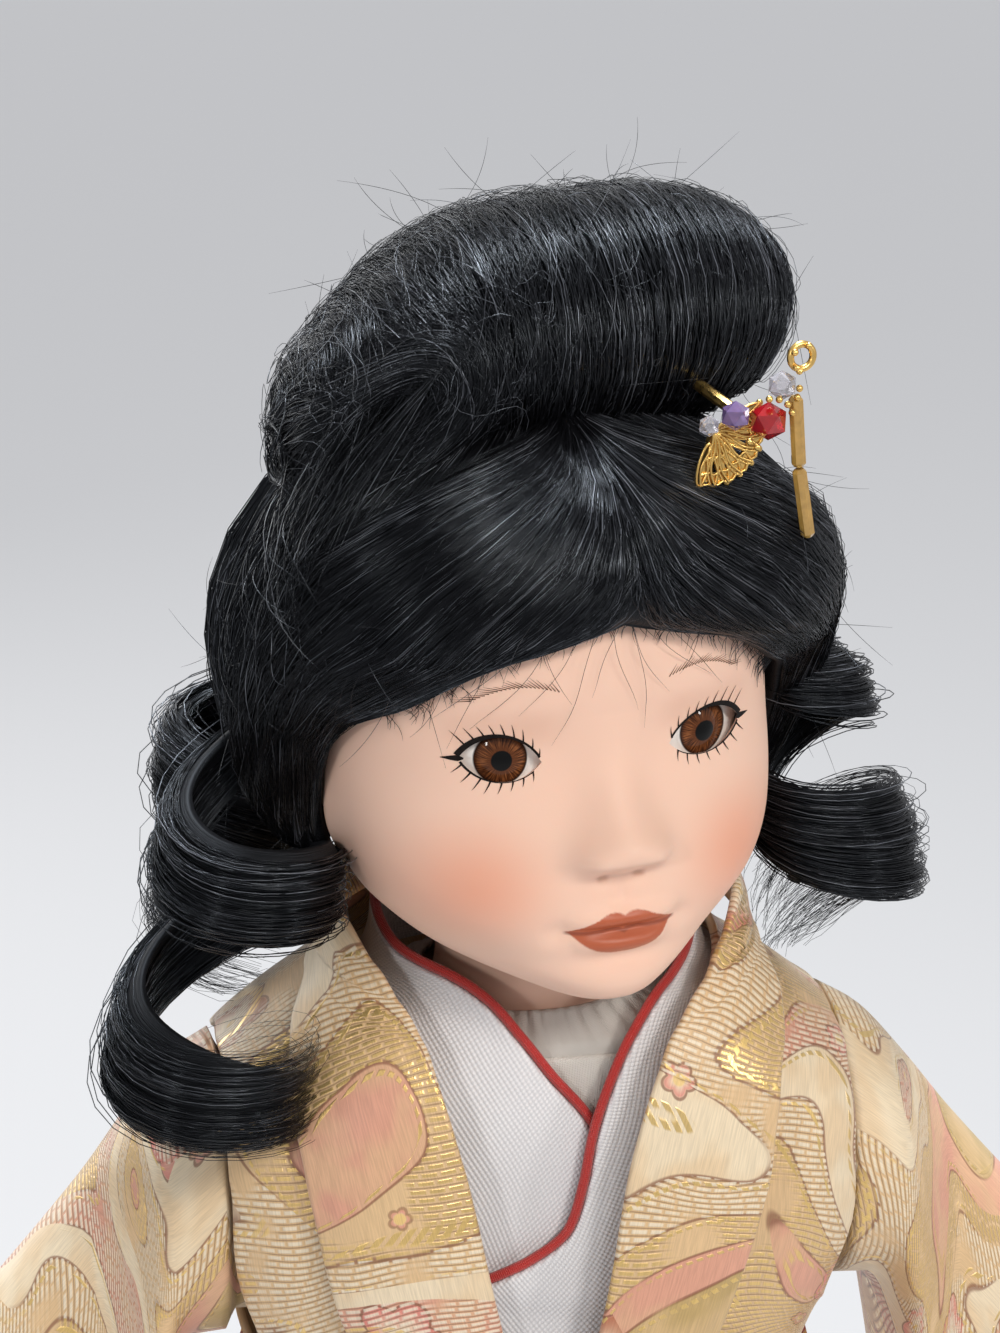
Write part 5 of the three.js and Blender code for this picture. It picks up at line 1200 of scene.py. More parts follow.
# fine hairs fallen over the forehead: where each starts and ends across the face, and the rise of its end
foreheadHairs = ((-3, -9, 40), (-1, 3, 44), (1, 8, 46), (-6, -13, 45), (4, 15, 47), (-10, -19, 43),
                 (0, -4, 47), (7, 18, 45), (-14, -24, 44), (2, 5, 41))


def buildWisps():
    count, points = hairs["loose"]
    s = np.linspace(0, 1, points)[None, :, None]
    side = random.choice([-1, 1], count)
    even = lambda low, high: random.uniform(low, high, count)
    turn = np.where(even(0, 1) < 0.6, side * even(30, 125), even(-180, 180))
    down = even(0.25, 0.95)
    root = wigPoint(turn, down, 0.95 + 0 * turn)
    out = unit(wigPoint(turn, down, 1.6 + 0 * turn) - root)
    onKnot = (even(0, 1) < 0.4)[:, None]
    t, angle = even(-0.95, 0.95), even(20, 230)
    root = np.where(onKnot, knotPoint(t, angle, 0.2), root)
    out = np.where(onKnot, unit(knotPoint(t, angle, 2.2) - knotPoint(t, angle, 0.2)), out)
    way = unit(np.cross(out, unit(random.normal(0, 1, (count, 3)))))
    long = random.uniform(4, 13, (count, 1, 1))
    bend = unit(random.normal(0, 1, (count, 3)))[:, None]
    course = way[:, None] * s + out[:, None] * (0.55 * s - 0.25 * s**2) + 0.55 * bend * s**2
    hair("loose_hair", root[:, None] + long * course, 0.04, 1, 0.4)
    # short hairs along the hairline, then those over the forehead
    count, points = hairs["hairline"]
    t = np.linspace(0, 1, points)
    turn = random.uniform(-58, 58, count)
    x0 = np.clip(head["face"] * np.sin(np.radians(turn)), -27.5, 27.5)[:, None]
    away = np.sign(x0) * evenly(-1.5, 6, count)
    x = np.clip(x0 + away * t + 0.4 * np.sin(4 * t + x0), -28.5, 28.5)
    z = hairlineAt(np.abs(turn))[:, None] + lerp(1.2, -evenly(0.2, 3.2, count), t**1.2)
    hair("hairline_wisps", onFace(x, z, lerp(1.6, 0.3, smooth(t, 0, 0.7))), 0.05, 1, 0.3)
    rows = []
    for x0, x1, rise in foreheadHairs:
        x = lerp(x0, x1, t**1.3) + 0.5 * np.sin(5 * t + x1)
        z = lerp(hairlineAt(abs(x0) * 1.7) + 1.5, rise, t)
        rows.append(onFace(x, z, 0.35 + 1.2 * (1 - t)))
    hair("forehead_wisps", np.stack(rows), 0.042, 1, 0.3)


buildWigBase()
buildFrontHair()
buildBackHair()
buildTopknot()
buildCurls()
buildFrizz()
buildWisps()
print("hair done")


# Hair ornament, in the head's own axes
ornament = {"pin": (21.5, -28.4, 396.9), "leaf": 7.5, "leafSpan": (255, 385), "bead": 2.7, "small": 2.1,
            "seed": 0.5, "loop": 1.7, "wire": 0.5, "drop": 1.05, "dropLength": 10, "dropLean": 5,
            "gap": 0.35,
            "redSeeds": ((-0.6, 3.4), (0.9, 3.2), (2.2, 2.4), (2.9, 1.2), (-3.4, -2.2), (-2.2, -3.1)),
            "clearSeeds": ((1.8, -1.6), (2.1, -0.4), (2.0, 2.0))}


def gem(name, centre, radius, material, slot, facets, *replaced):
    mesh = bpy.data.meshes.new(name)
    work = bmesh.new()
    bmesh.ops.create_icosphere(work, subdivisions=1 if facets else 3, radius=radius * mm)
    work.to_mesh(mesh)
    work.free()
    mesh.transform(Matrix.Translation(Vector(headTurned(np.asarray(centre, float)) * mm)))
    finished(mesh, material, not facets)
    settle(newObject(name, mesh), "head", slot, *replaced)


def aimed(angle):
    # a direction in the upright plane that faces front, and the one across it
    return np.array([math.cos(angle), 0, math.sin(angle)]), np.array([-math.sin(angle), 0, math.cos(angle)])


def buildOrnament():
    gap, pin, leaf = ornament["gap"], np.array(ornament["pin"], float), ornament["leaf"]
    red = pin + (0.4, -2 * gap - 1.1 - ornament["bead"], 1.4)
    far = ornament["bead"] + ornament["small"] + gap
    violet = red + (-far * 0.97, 0, far * 0.24)
    clear = red + (far * 0.37, 0, far * 0.93)
    far = ornament["small"] + ornament["loop"] + ornament["wire"] + gap
    loop = clear + (far * 0.6, 0, far * 0.8)
    gem("red_gem", red, ornament["bead"], redGlass, "red_glass", True, "red_bead")
    gem("violet_gem", violet, ornament["small"], violetGlass, "violet_glass", True, "violet_bead")
    gem("clear_gem", clear, ornament["small"], clearGlass, "clear_glass", True, "clear_bead")
    gem("pale_gem", violet + (-3.6, 0.6, -1.2), 1.5, clearGlass, "clear_glass", True)
    # wire filigree on the leaf: lobes, veins and a curled rim
    foot = pin + (-6.5, -gap - 0.55, -0.2)
    lobes = np.radians(np.linspace(*ornament["leafSpan"], 9))
    steps = 24
    circle = np.linspace(0, fullTurn, steps)[:, None]
    s = np.linspace(0, 1, steps)[:, None]
    lines = []
    for a in lobes:
        way, turn = aimed(a)
        lobe = way * (leaf * (0.62 - 0.40 * np.cos(circle))) + turn * 0.8 * np.sin(circle)
        vein = way * leaf * 1.02 * s + turn * 0.35 * np.sin(7 * s)
        lines += [foot + lobe + (0, -0.7, 0), foot + vein + (0, -0.85, 0)]
    a = np.radians(np.linspace(*ornament["leafSpan"], steps))
    for reach in (0.5, 0.78, 1.0):
        wave = leaf * (reach + 0.035 * np.cos(np.linspace(0, 44, steps)))
        lines.append(foot + np.stack([wave * np.cos(a), 0 * a - 0.7, wave * np.sin(a)], -1))
    strands("leaf_filigree", np.stack(lines), np.full((1, steps), 0.2), "gold", gold, 6)
    seeds = [foot + leaf * 1.05 * aimed(a)[0] + (0, -0.3, 0) for a in lobes]
    seeds += [loop + ornament["loop"] * aimed(b)[0] + (0, -0.8, 0) for b in (1.2, 2.6, 4.0)]
    seeds += [red + (x, -1.2, z) for x, z in ornament["redSeeds"]]
    seeds += [clear + (x, -1.0, z) for x, z in ornament["clearSeeds"]]
    for k, spot in enumerate(seeds):
        gem("seed_bead_%d" % k, spot, ornament["seed"], gold, "gold", False)
    circles = (np.linspace(0, fullTurn, count, endpoint=False) for count in (48, 16))
    spin, ring = np.meshgrid(*circles, indexing="ij")
    r = ornament["loop"] + ornament["wire"] * np.cos(ring)
    place = np.stack([r * np.cos(spin), ornament["wire"] * np.sin(ring), r * np.sin(spin)], -1) + loop
    place = np.concatenate([place, place[:1]])
    obj = addMesh("loop_ring", headTurned(place), gridFaces(*place.shape[:2], closed=True), gold)
    settle(editMesh(obj, weld), "head", "gold", "gold_loop")
    # hanging glass tubes, eight-sided, each leaning a little more than the one above
    far = ornament["small"] + gap
    start = clear + (far * 0.84, 0, -far * 0.7)
    long = ornament["dropLength"]
    rows = [(0, 0.3), (0, 0.62), (0.5, 1.0), (long - 0.5, 1.0), (long, 0.62), (long, 0.3)]
    spin = np.linspace(0, fullTurn, 8, endpoint=False)[:, None]
    for k, name in enumerate(("upper", "lower")):
        across, up = aimed(math.radians(ornament["dropLean"] * (k + 1)))
        down = up * (-1, 0, -1)
        ring = ornament["drop"] * (across * np.cos(spin) + np.array([0, 1, 0]) * np.sin(spin))
        place = np.stack([start + down * z + ring * r for z, r in rows])
        faces = cappedFaces(*place.shape[:2])
        obj = addMesh(name + "_bugle", headTurned(place), faces, amberGlass, flat=True)
        settle(editMesh(obj), name + "_dangle", "gold", name + "_drop")
        start = start + down * (long + gap)


buildOrnament()
print("ornament done")


# Robes: the same form as the frame's
form = {"low": 192.65, "bodice": 236, "lapelLow": 240, "shoulder": 275, "ball": 301, "collar": 323,
        "cup": 20.2, "neck": 13.5, "wall": 1.4, "step": 2.4, "start": 0.6}
low, bodice, lapelLow, collar = (form[key] for key in ("low", "bodice", "lapelLow", "collar"))
chest = lambda drop: form["shoulder"] - drop
yoke = lambda share: lerp(form["shoulder"], form["ball"], share)
throat = lambda lift: form["ball"] + lift
formWidth = curveThrough([(low, 37), (chest(60), 34), (chest(40), 34.5), (chest(25), 38.5), (chest(13), 43),
                          (chest(1), 47), (yoke(0.35), 47), (yoke(0.65), 44), (yoke(0.81), 39.5),
                          (yoke(0.96), 34), (throat(3), 28), (throat(8), 23.5), (throat(14), 21.5),
                          (collar, 21)])
formFront = curveThrough([(low, 25), (chest(60), 23), (chest(40), 24), (chest(25), 26.5), (chest(13), 27.6),
                          (chest(1), 26.8), (yoke(0.35), 25.6), (yoke(0.65), 24.4), (yoke(0.96), 22.8),
                          (throat(7), 20.5), (throat(14), 18.5), (collar, 17.5)])
formBack = curveThrough([(low, 28.5), (chest(60), 24), (chest(40), 21.6), (chest(25), 22.3),
                         (yoke(0.65), 22.3), (throat(3), 21.6), (throat(14), 21), (collar, 21.5)])
formPower = curveThrough([(low, 2.1), (chest(40), 2.3), (chest(13), 2.8), (yoke(0.04), 3), (yoke(0.58), 2.6),
                          (throat(4), 2.1), (collar, 2)])


def ovalRadius(angle, wide, front, back, power):
    deep = np.where(np.cos(angle) > 0, front, back)
    return ((np.abs(np.sin(angle)) / wide) ** power + (np.abs(np.cos(angle)) / deep) ** power) ** (-1 / power)


def formPoint(angle, z, offset):
    at = lambda a, h: around(ovalRadius(a, formWidth(h), formFront(h), formBack(h), formPower(h)), a, h)
    across = at(angle + 0.01, z) - at(angle - 0.01, z)
    up = at(angle, z + 0.3) - at(angle, z - 0.3)
    normal = unit(np.cross(across, up))
    return at(angle, z) + normal * np.asarray(offset)[..., None], normal


def layer(index):
    return form["step"] * index + form["start"]


def trace(edge, v):
    k = np.linspace(0, 1, len(edge))
    angle, height = (curveThrough([(t, p[i]) for t, p in zip(k, edge)]) for i in (0, 1))
    return angle(v), height(v)


def facing(place):
    return unit(np.cross(np.gradient(place, axis=1), np.gradient(place, axis=0)))


def clothShell(name, place, normal, half, material, puff=0, wrap=False):
    # a closed sheet with rounded edges about a middle surface; place and normal are (rows, columns, 3)
    rows, columns = place.shape[:2]
    across, along = lengths(place, 1), lengths(place, 0)
    edge = np.minimum(along, along[-1:] - along)
    if not wrap:
        edge = np.minimum(edge, np.minimum(across, across[:, -1:] - across))
    bevel = np.clip(1 - edge / half, 0, 1)
    shell = (half * np.sqrt(np.maximum(0, 1 - bevel**2)))[..., None]
    lift = np.broadcast_to(puff * smooth(edge, 0, 4), edge.shape)[..., None]
    points = np.concatenate([place + normal * (lift + shell), place + normal * (lift - shell)])
    uv = np.stack([across - across[:, -1:] / 2, along.mean(1, keepdims=True) + 0 * along], -1) / clothSpan
    faces = gridFaces(rows, columns)
    both = np.concatenate([faces, (faces + rows * columns)[:, ::-1]])
    obj = editMesh(addMesh(name, points, both, material, np.concatenate([uv, uv])), weld)
    return obj, float(across[:, -1].max()), float(along[-1].max())


def asSheet(cloth, slot, node, rests):
    # cloth: the piece with the width and length that it was cut to; a piece given no slot is not attached to
    # a body
    obj, wide, long = cloth
    if slot:
        settle(obj, "torso", slot, *node)
    wide, long = wide * mm, long * mm
    area = sum(p.area for p in obj.data.polygons) / 2
    area = min(max(area, 0.301 * wide * long), wide * long)
    area * 0.9999
    print("sheet", obj.name, "flat mm", round(wide * 1000), "x", round(long * 1000),
          "area cm2", round(area * 1e4))


def edged(count, pull=0.35):
    # even steps, drawn closer together at both ends
    k = np.linspace(0, 1, count)
    return (1 - pull) * k + pull * (0.5 - 0.5 * np.cos(math.pi * k))


def bandOn(name, edges, level, rows, columns, material, puffAt):
    # a band of cloth on the form between two edges
    v, u = edged(rows)[:, None], edged(columns, 0.8)[None]
    (a0, h0), (a1, h1) = (trace(edge, v) for edge in edges)
    angle, height = np.radians(lerp(a0, a1, u)), lerp(h0, h1, u)
    place, normal = formPoint(angle, height, layer(level) + form["wall"] / 2 + 0 * angle)
    return clothShell(name, place, normal, form["wall"] / 2, material, puffAt(u, v))


# edges of the robes: (angle round the doll in degrees, height), from the nape or the low end
rightPipe = [(-178, collar - 6), (-110, collar - 4), (-66, throat(13.5)), (-42, throat(11.8)),
             (-26, throat(9)), (-13, throat(4)), (-2, yoke(0.94)), (10, yoke(0.7)), (20, yoke(0.33))]
leftPipe = [(178, collar - 6), (110, collar - 4), (70, throat(11)), (41, throat(6.5)), (23, throat(-0.5)),
            (13.5, yoke(0.64)), (9.5, yoke(0.36)), (4, yoke(0.09)), (-8, chest(2)), (-28, chest(6))]
rightUnder = [(-178, throat(2)), (-120, throat(2)), (-80, throat(3)), (-60, yoke(0.88)), (-50, yoke(0.58)),
              (-40, yoke(0.12)), (-32, chest(13))]
leftUnder = [(178, throat(2)), (120, throat(2)), (80, throat(3)), (64, yoke(0.96)), (52, yoke(0.42)),
             (40, chest(3)), (28, chest(17)), (8, lapelLow + 2)]
halfInner = [(14, bodice), (20, chest(21)), (28, chest(1)), (36, yoke(0.65)), (52, throat(2)),
             (74, throat(8)), (105, throat(11)), (150, throat(10)), (172, throat(8)), (179.7, yoke(0.96)),
             (179.7, chest(7)), (179.7, bodice)]
halfOuter = [(90.3, bodice), (89, chest(27)), (67, chest(14)), (68.5, yoke(0.19)), (76, yoke(0.615)),
             (85, yoke(0.708)), (95, yoke(0.708)), (104, yoke(0.615)), (110.5, yoke(0.19)),
             (111, chest(14)), (92, chest(27)), (90.5, bodice)]
leftInner = [(-8, lapelLow), (3, chest(19)), (10, chest(7)), (20, yoke(0.58)), (30, throat(0)),
             (50, throat(9)), (78, collar - 2), (115, collar), (179, collar)]
leftOuter = [(22, lapelLow), (33, chest(19)), (41, chest(7)), (49, yoke(0.27)), (55, yoke(0.68)),
             (67, yoke(0.942)), (88, throat(4)), (120, throat(7)), (179, throat(7))]
rightInner = [(-2, lapelLow), (-14, chest(19)), (-20, chest(7)), (-30, yoke(0.58)), (-39, throat(1)),
              (-54, throat(10)), (-80, collar - 2), (-115, collar), (-179, collar)]
rightOuter = [(-34, lapelLow), (-45, chest(19)), (-51, chest(7)), (-57, yoke(0.34)), (-63, yoke(0.7)),
              (-74, yoke(0.95)), (-92, throat(4)), (-122, throat(7)), (-179, throat(7))]
shirtTop = [(-34, throat(0.2)), (-17, throat(1)), (0, throat(1.2)), (17, throat(1)), (34, throat(0.2))]
shirtLow = [(-30, throat(-15)), (-15, throat(-20)), (0, throat(-22)), (15, throat(-20)), (30, throat(-15))]


def tube(name, path, radius, corners, material, strandsIn=0, pitch=6.0, closed=False):
    # a cord along a path; strandsIn twisted strands show as ridges
    path = np.asarray(path, float)
    way = unit(np.roll(path, -1, 0) - np.roll(path, 1, 0) if closed else np.gradient(path, axis=0))
    side = np.zeros_like(path)
    side[0] = unit(np.cross(way[0], (0.3, 0.2, 0.93)))
    for i in range(1, len(path)):
        side[i] = unit(side[i - 1] - way[i] * np.dot(side[i - 1], way[i]))
    if closed:
        twist = math.atan2(np.dot(np.cross(side[-1], side[0]), way[0]), np.dot(side[-1], side[0]))
        share = np.arange(len(path)) / len(path) * twist
        side = side * np.cos(share)[:, None] + np.cross(way, side) * np.sin(share)[:, None]
    other = np.cross(way, side)
    spin = np.linspace(0, fullTurn, corners, endpoint=False)[None]
    step = np.linalg.norm(np.diff(path, axis=0, append=path[:1] if closed else path[-1:]), axis=1)
    run = np.concatenate([[0], np.cumsum(step)[:-1]])[:, None]
    r = radius + 0 * spin + 0 * run
    if strandsIn:
        turns = max(1, round(step.sum() / pitch))
        lay = spin - fullTurn * turns * run / step.sum()
        r = radius * (0.80 + 0.20 * np.abs(np.cos(strandsIn / 2 * lay)))
    x, y = (r * np.cos(spin))[..., None], (r * np.sin(spin))[..., None]
    place = path[:, None] + side[:, None] * x + other[:, None] * y
    uv = np.stack(np.broadcast_arrays(spin * radius, run), -1) / clothSpan
    if closed:
        place, uv = np.concatenate([place, place[:1]]), np.concatenate([uv, uv[:1]])
        return editMesh(addMesh(name, place, gridFaces(*place.shape[:2], closed=True), material, uv), weld)
    return editMesh(addMesh(name, place, cappedFaces(*place.shape[:2]), material, uv))


piping = {"radius": 0.76, "corners": 16, "points": 130, "off": 0.8}


def pipingPath(edge, level):
    t = np.linspace(0.03, 0.99, piping["points"])
    stand = layer(level) + form["wall"] / 2
    at = lambda s: formPoint(np.radians(trace(edge, s)[0]), trace(edge, s)[1], stand + 0 * s)
    here, out = at(t)
    ahead = unit(at(t + 0.008)[0] - here)
    return here + unit(np.cross(ahead, out)) * np.sign(edge[0][0]) * piping["off"]


def buildRobes():
    rumple = lambda u, v: 0.35 * softNoise(u * 5 + v * 9, v * 17 - u * 3)
    tuck = lambda u, v: 0.5 * hill(u - 0.9 + 0.7 * smooth(v, 0.75, 1), 0, 0.08) * smooth(v, 0.7, 0.8)
    crease = lambda u, v: 0.3 * softNoise(u * 6 + v * 7) - tuck(u, v)
    swell = lambda u, v: 0.5 * softNoise(v * 13 + u * 4, v * 7 - u * 6) * smooth(u, 0, 0.15)
    cloth = bandOn("white_robe_right", (rightPipe, rightUnder), 0, 90, 26, whiteSatin, rumple)
    asSheet(cloth, "white_silk", ["under_robe_right"], ["shoulder_plate"])
    cloth = bandOn("white_robe_left", (leftPipe, leftUnder), 1, 100, 28, whiteSatin, crease)
    asSheet(cloth, "white_silk", ["under_robe_left"], ["white_robe_right"])
    for name, edge, level in (("right", rightPipe, 0), ("left", leftPipe, 1)):
        obj = tube(name + "_red_edge", pipingPath(edge, level), piping["radius"], piping["corners"], redSatin)
        settle(obj, "torso", "red_silk", name + "_piping")
    lapels = {-1: ((rightInner, rightOuter), 3), 1: ((leftInner, leftOuter), 4)}
    for side, name in bothSides:
        edges = [[(side * a, z) for a, z in edge] for edge in (halfInner, halfOuter)]
        cloth = bandOn("kimono_body_" + name, edges, 2, 110, 34, brocade[side], swell)
        asSheet(cloth, "brocade", ["bodice_" + name], ["white_robe_left", "shoulder_plate"])
        soft = lambda u, v: 0.35 * softNoise(v * 11 + side, u * 5 + v * 6)
        roll = lambda u, v: 0.9 * np.sin(math.pi * np.clip(u, 0, 1)) ** 0.7 + soft(u, v)
        cloth = bandOn("kimono_lapel_" + name, *lapels[side], 120, 26, lapelBrocade[side], roll)
        asSheet(cloth, "brocade", ["lapel_" + name], ["kimono_body_" + name])


def buildUndershirt():
    angle = np.linspace(0, fullTurn, 181)[None]
    rim, stand = form["cup"], form["neck"] + 2.2
    # half width, front depth, back depth and height of its rings, from the shoulder up to the neck
    rings = [(rim + 9.7, rim + 1.4, rim + 1.0, throat(-1)), (rim + 3.5, rim + 0.8, rim + 0.5, throat(1.9)),
             (rim - 1.6, rim - 1.2, rim - 1.2, throat(3.4)), (stand, stand, stand, throat(5.9))]
    s = np.linspace(0, 1, 26)[:, None]
    shares = np.linspace(0, 1, len(rings))
    wide, front, back, height = (curveThrough(list(zip(shares, sizes)))(s) for sizes in zip(*rings))
    gather = 0.30 * np.sin(46 * angle + 2 * np.sin(5 * angle))
    gather = gather * lerp(0.35, 1, smooth(s, 0.2, 0.9)) * smooth(s, 1.0, 0.93)
    place = around(ovalRadius(angle, wide, front, back, 2.3) + 0.4 * gather, angle, height + gather)
    cloth = clothShell("gathered_undershirt", place, facing(place), 0.45, plainSilk, wrap=True)
    asSheet(cloth, "white_silk", ["undershirt"], ["shoulder_plate"])
    # its plain front below the gathers, seen in the neck opening
    tuck = lambda u, v: 0.16 * np.sin(v * 60 + 2 * np.sin(9 * v)) * smooth(u, 0.5, 0.05)
    cloth = bandOn("undershirt_front", (shirtTop, shirtLow), -0.8, 90, 24, plainSilk, tuck)
    asSheet(cloth, "white_silk", [], ["shoulder_plate"])


obiSpec = {"top": 243, "bottom": 193, "wall": 2.0, "folds": (226, 209), "bowHalf": 25, "bowDeep": 17,
           "bowCrown": 2.5, "cord": 1.5, "petal": 15, "petalTurns": (110, 40, 250), "knotAngle": 38.0}


def obiLow(angleDeg):
    turn = np.abs((angleDeg + 180) % 360 - 180)
    return lerp(layer(5), layer(3) + 0.4, smooth(turn, 42, 84))


def obiFace(angleDeg, z, clear):
    angleDeg = np.asarray(angleDeg, float)
    return formPoint(np.radians(angleDeg), z + 0 * angleDeg, obiLow(angleDeg) + obiSpec["wall"] + clear)


def buildSash():
    angle = np.linspace(180, 540, 121)[None]
    z = np.linspace(obiSpec["bottom"], obiSpec["top"], 34)[:, None]
    middle = obiLow(angle) + obiSpec["wall"] / 2 + 0 * z
    place, normal = formPoint(np.radians(angle) + 0 * z, z + 0 * angle, middle)
    place[..., 2] = z
    upper, lower = (smooth(z, fold, fold + 0.8) for fold in obiSpec["folds"])
    folds = 0.28 * (upper - lower) + 0.12 * np.sin(np.radians(3 * angle) + z / 9)
    cloth = clothShell("sash", place, normal, obiSpec["wall"] / 2 - 0.1, sash, folds, wrap=True)
    asSheet(cloth, "sash", ["obi"], ["kimono_body_left", "kimono_lapel_left"])


def buildBow():
    # drum bow: a rounded box with a crowned lid
    half, deep = obiSpec["bowHalf"], obiSpec["bowDeep"]
    cordZ = (obiSpec["top"] + obiSpec["bottom"]) / 2
    cordBack = obiFace([180.0], cordZ, 2 * obiSpec["cord"] + 0.53)[0][0, 1]
    back = max(cordBack, obiFace([180.0], obiSpec["bottom"], 0.0)[0][0, 1]) + 0.35
    crown = lambda x: obiSpec["bowCrown"] * (1 - (x / half) ** 2)
    t = np.linspace(0, 1, 18)[:, None]
    wide = curveThrough([(0, 0.9), (0.08, 0.97), (0.5, 1), (0.88, 0.97), (1, 0.88)])(t)
    tall = curveThrough([(0, 0.86), (0.08, 0.95), (0.5, 1), (0.88, 0.94), (1, 0.84)])(t)
    spin = np.linspace(0, fullTurn, 96, endpoint=False)[None]
    square = (np.abs(np.cos(spin)) ** 5 + np.abs(np.sin(spin)) ** 5) ** -0.2
    x = half * wide * square * np.cos(spin)
    z = ((obiSpec["top"] - obiSpec["bottom"]) / 2 + 1) * tall * square * np.sin(spin)
    rings = [np.stack(np.broadcast_arrays(x, back + t * (deep + crown(x)), cordZ + z), -1)]
    for k in (0.85, 0.6, 0.35, 0.1):
        lid = np.stack([x[-1] * k, back + deep + crown(x[-1] * k) + 0.5 * (1 - k), cordZ + z[-1] * k], -1)
        rings.append(lid[None])
    place = np.concatenate(rings)
    uv = np.stack([place[..., 0], place[..., 2] + place[..., 1] * 0.8], -1) / clothSpan
    obj = editMesh(addMesh("sash_bow", place, cappedFaces(*place.shape[:2]), sash, uv))
    settle(obj, "torso", "sash", "obi_bow")


def buildCord():
    cord, petal = obiSpec["cord"], obiSpec["petal"]
    cordZ = (obiSpec["top"] + obiSpec["bottom"]) / 2
    path = obiFace(np.linspace(0, 360, 240, endpoint=False), cordZ, cord * 0.8)[0]
    obj = tube("sash_cord", path, cord, 18, cordSilk, 3, 5.0, closed=True)
    settle(obj, "torso", "white_silk", "obi_cord")
    seat, out = (p[0] for p in obiFace([obiSpec["knotAngle"]], obiSpec["top"] - 2, 2 * cord + 0.35))
    across = unit(np.cross((0, 0, 1.0), out))
    up = np.cross(out, across)
    s = np.linspace(0, fullTurn, 60, endpoint=False)[:, None]
    loops = []
    for k, turn in enumerate(obiSpec["petalTurns"]):
        lean = math.radians(turn)
        way = across * math.cos(lean) + up * math.sin(lean)
        aside = np.cross(out, way) * petal * 0.24 * np.sin(s) + out * 0.5 * np.sin(s) * np.sin(s / 2)
        path = seat + way * petal * 0.5 * (1 - np.cos(s)) + aside
        loops.append(tube("cord_loop_%d" % k, path, cord * 0.85, 16, cordSilk, 3, 4.2, closed=True))
    t = np.linspace(0, fullTurn, 70, endpoint=False)[:, None]
    wrap = seat + across * 2.1 * np.cos(2 * t) + up * 2.3 * np.sin(2 * t) + out * (0.8 * np.cos(t) + 0.2)
    loops.append(tube("cord_knot", wrap, cord * 0.8, 14, cordSilk, 3, 4.2, closed=True))
    for obj in loops:
        settle(obj, "torso", "white_silk")
    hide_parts("cord_bow")


skirt = {"waist": 46.2, "deep": 38.6, "hemWide": 72, "hemDeep": 66, "fold": 2.6, "rows": 56}
skirtSwell = curveThrough([(0, 1), (0.16, 0.9), (0.36, 0.66), (0.6, 0.38), (0.83, 0.14), (1, 0)])
# from and to angle, columns, and how many layers it stands off across its width
skirtPanels = {"back": (90.4, 269.6, 112, lambda u: np.sin(math.pi * u)),
               "right": (-89.6, 18, 72, lambda u: 0 * u),
               "left": (-26, 89.6, 78, lambda u: 1 - smooth(u, 0.45, 1))}


def buildSkirt():
    v = edged(skirt["rows"], 0.2)[:, None]
    for name, (start, stop, columns, liftAt) in skirtPanels.items():
        u = edged(columns, 0.1)[None]
        z = low * v**0.85 + 0 * u
        angle = np.radians(lerp(start, stop, u)) + 0 * v
        flare = skirtSwell(z / low)
        wide = lerp(skirt["waist"], skirt["hemWide"] - skirt["fold"], flare)
        deep = lerp(skirt["deep"], skirt["hemDeep"] - skirt["fold"], flare) - form["step"]
        rumple = 0.35 * softNoise(angle * 21, z / 17 + angle * 6)
        fold = skirt["fold"] * flare * np.cos(10 * angle) + flare * rumple
        r = 1 / np.hypot(np.sin(angle) / wide, np.cos(angle) / deep)
        place = around(r + fold - form["wall"] / 2 + form["step"] * liftAt(u), angle, z)
        cloth = clothShell("kimono_skirt_" + name, place, facing(place), form["wall"] / 2 - 0.1, brocade[-1])
        asSheet(cloth, "brocade", ["skirt_" + name], ["sash"])


sleeveSpec = {"seam": 47.8, "tuck": 5.4, "length": 66.2, "cap": 21.2, "drop": 112, "half": 17, "pouch": 11,
              "tilt": 40, "reach": 50, "rows": 52, "columns": 96, "cutRow": 34}


def sleeveRing(x, a, shrink):
    seamX, length, cap, drop = (sleeveSpec[key] for key in ("seam", "length", "cap", "drop"))
    share = (x - seamX) / length
    slope = 1 / math.tan(math.radians(sleeveSpec["tilt"]))
    tuck = 3.6 * (1 - smooth(x, seamX - 1.4, seamX))
    axis = form["shoulder"] - (x - sleeveSpec["reach"]) * slope
    end = chest(-1) - (length - cap) * slope * 0.96
    top = curveThrough([(seamX, yoke(0.908)), (seamX + 6.2, chest(-19.5)), (seamX + 13.2, chest(-11.5)),
                        (seamX + cap, chest(-1)), (seamX + length, end)])(x) - tuck
    hang = smooth(x, seamX + 7.2, seamX + cap - 1)
    hem = top - drop * (1 - 0.1 * smooth(share, 0.55, 1))
    bottom = lerp(np.minimum(axis - 20, chest(24)) + tuck, hem, hang)
    tall = np.abs(np.sin(a)) ** lerp(1, 0.8, hang) * np.sign(np.sin(a))
    z = (top + bottom) / 2 + ((top - bottom) / 2 - shrink) * tall
    below = smooth((top - z) / drop, 0.3, 0.75)
    sewn = smooth(share, 0.9, 1) * smooth((top - z) / drop, 0.7, 0.8)
    mouth = lerp(sleeveSpec["half"] + (1 - hang) * 4 - tuck * 0.6, sleeveSpec["pouch"], below)
    deep = lerp(mouth, 2.0, sewn) - shrink
    wave = hang * 2 * below * np.sin(x * 0.16 + 1) + 0.5 * hang * softNoise(x / 7 + z / 23, z / 11 - x / 13)
    return np.stack(np.broadcast_arrays(x, wave + deep * np.cos(a), z), -1)


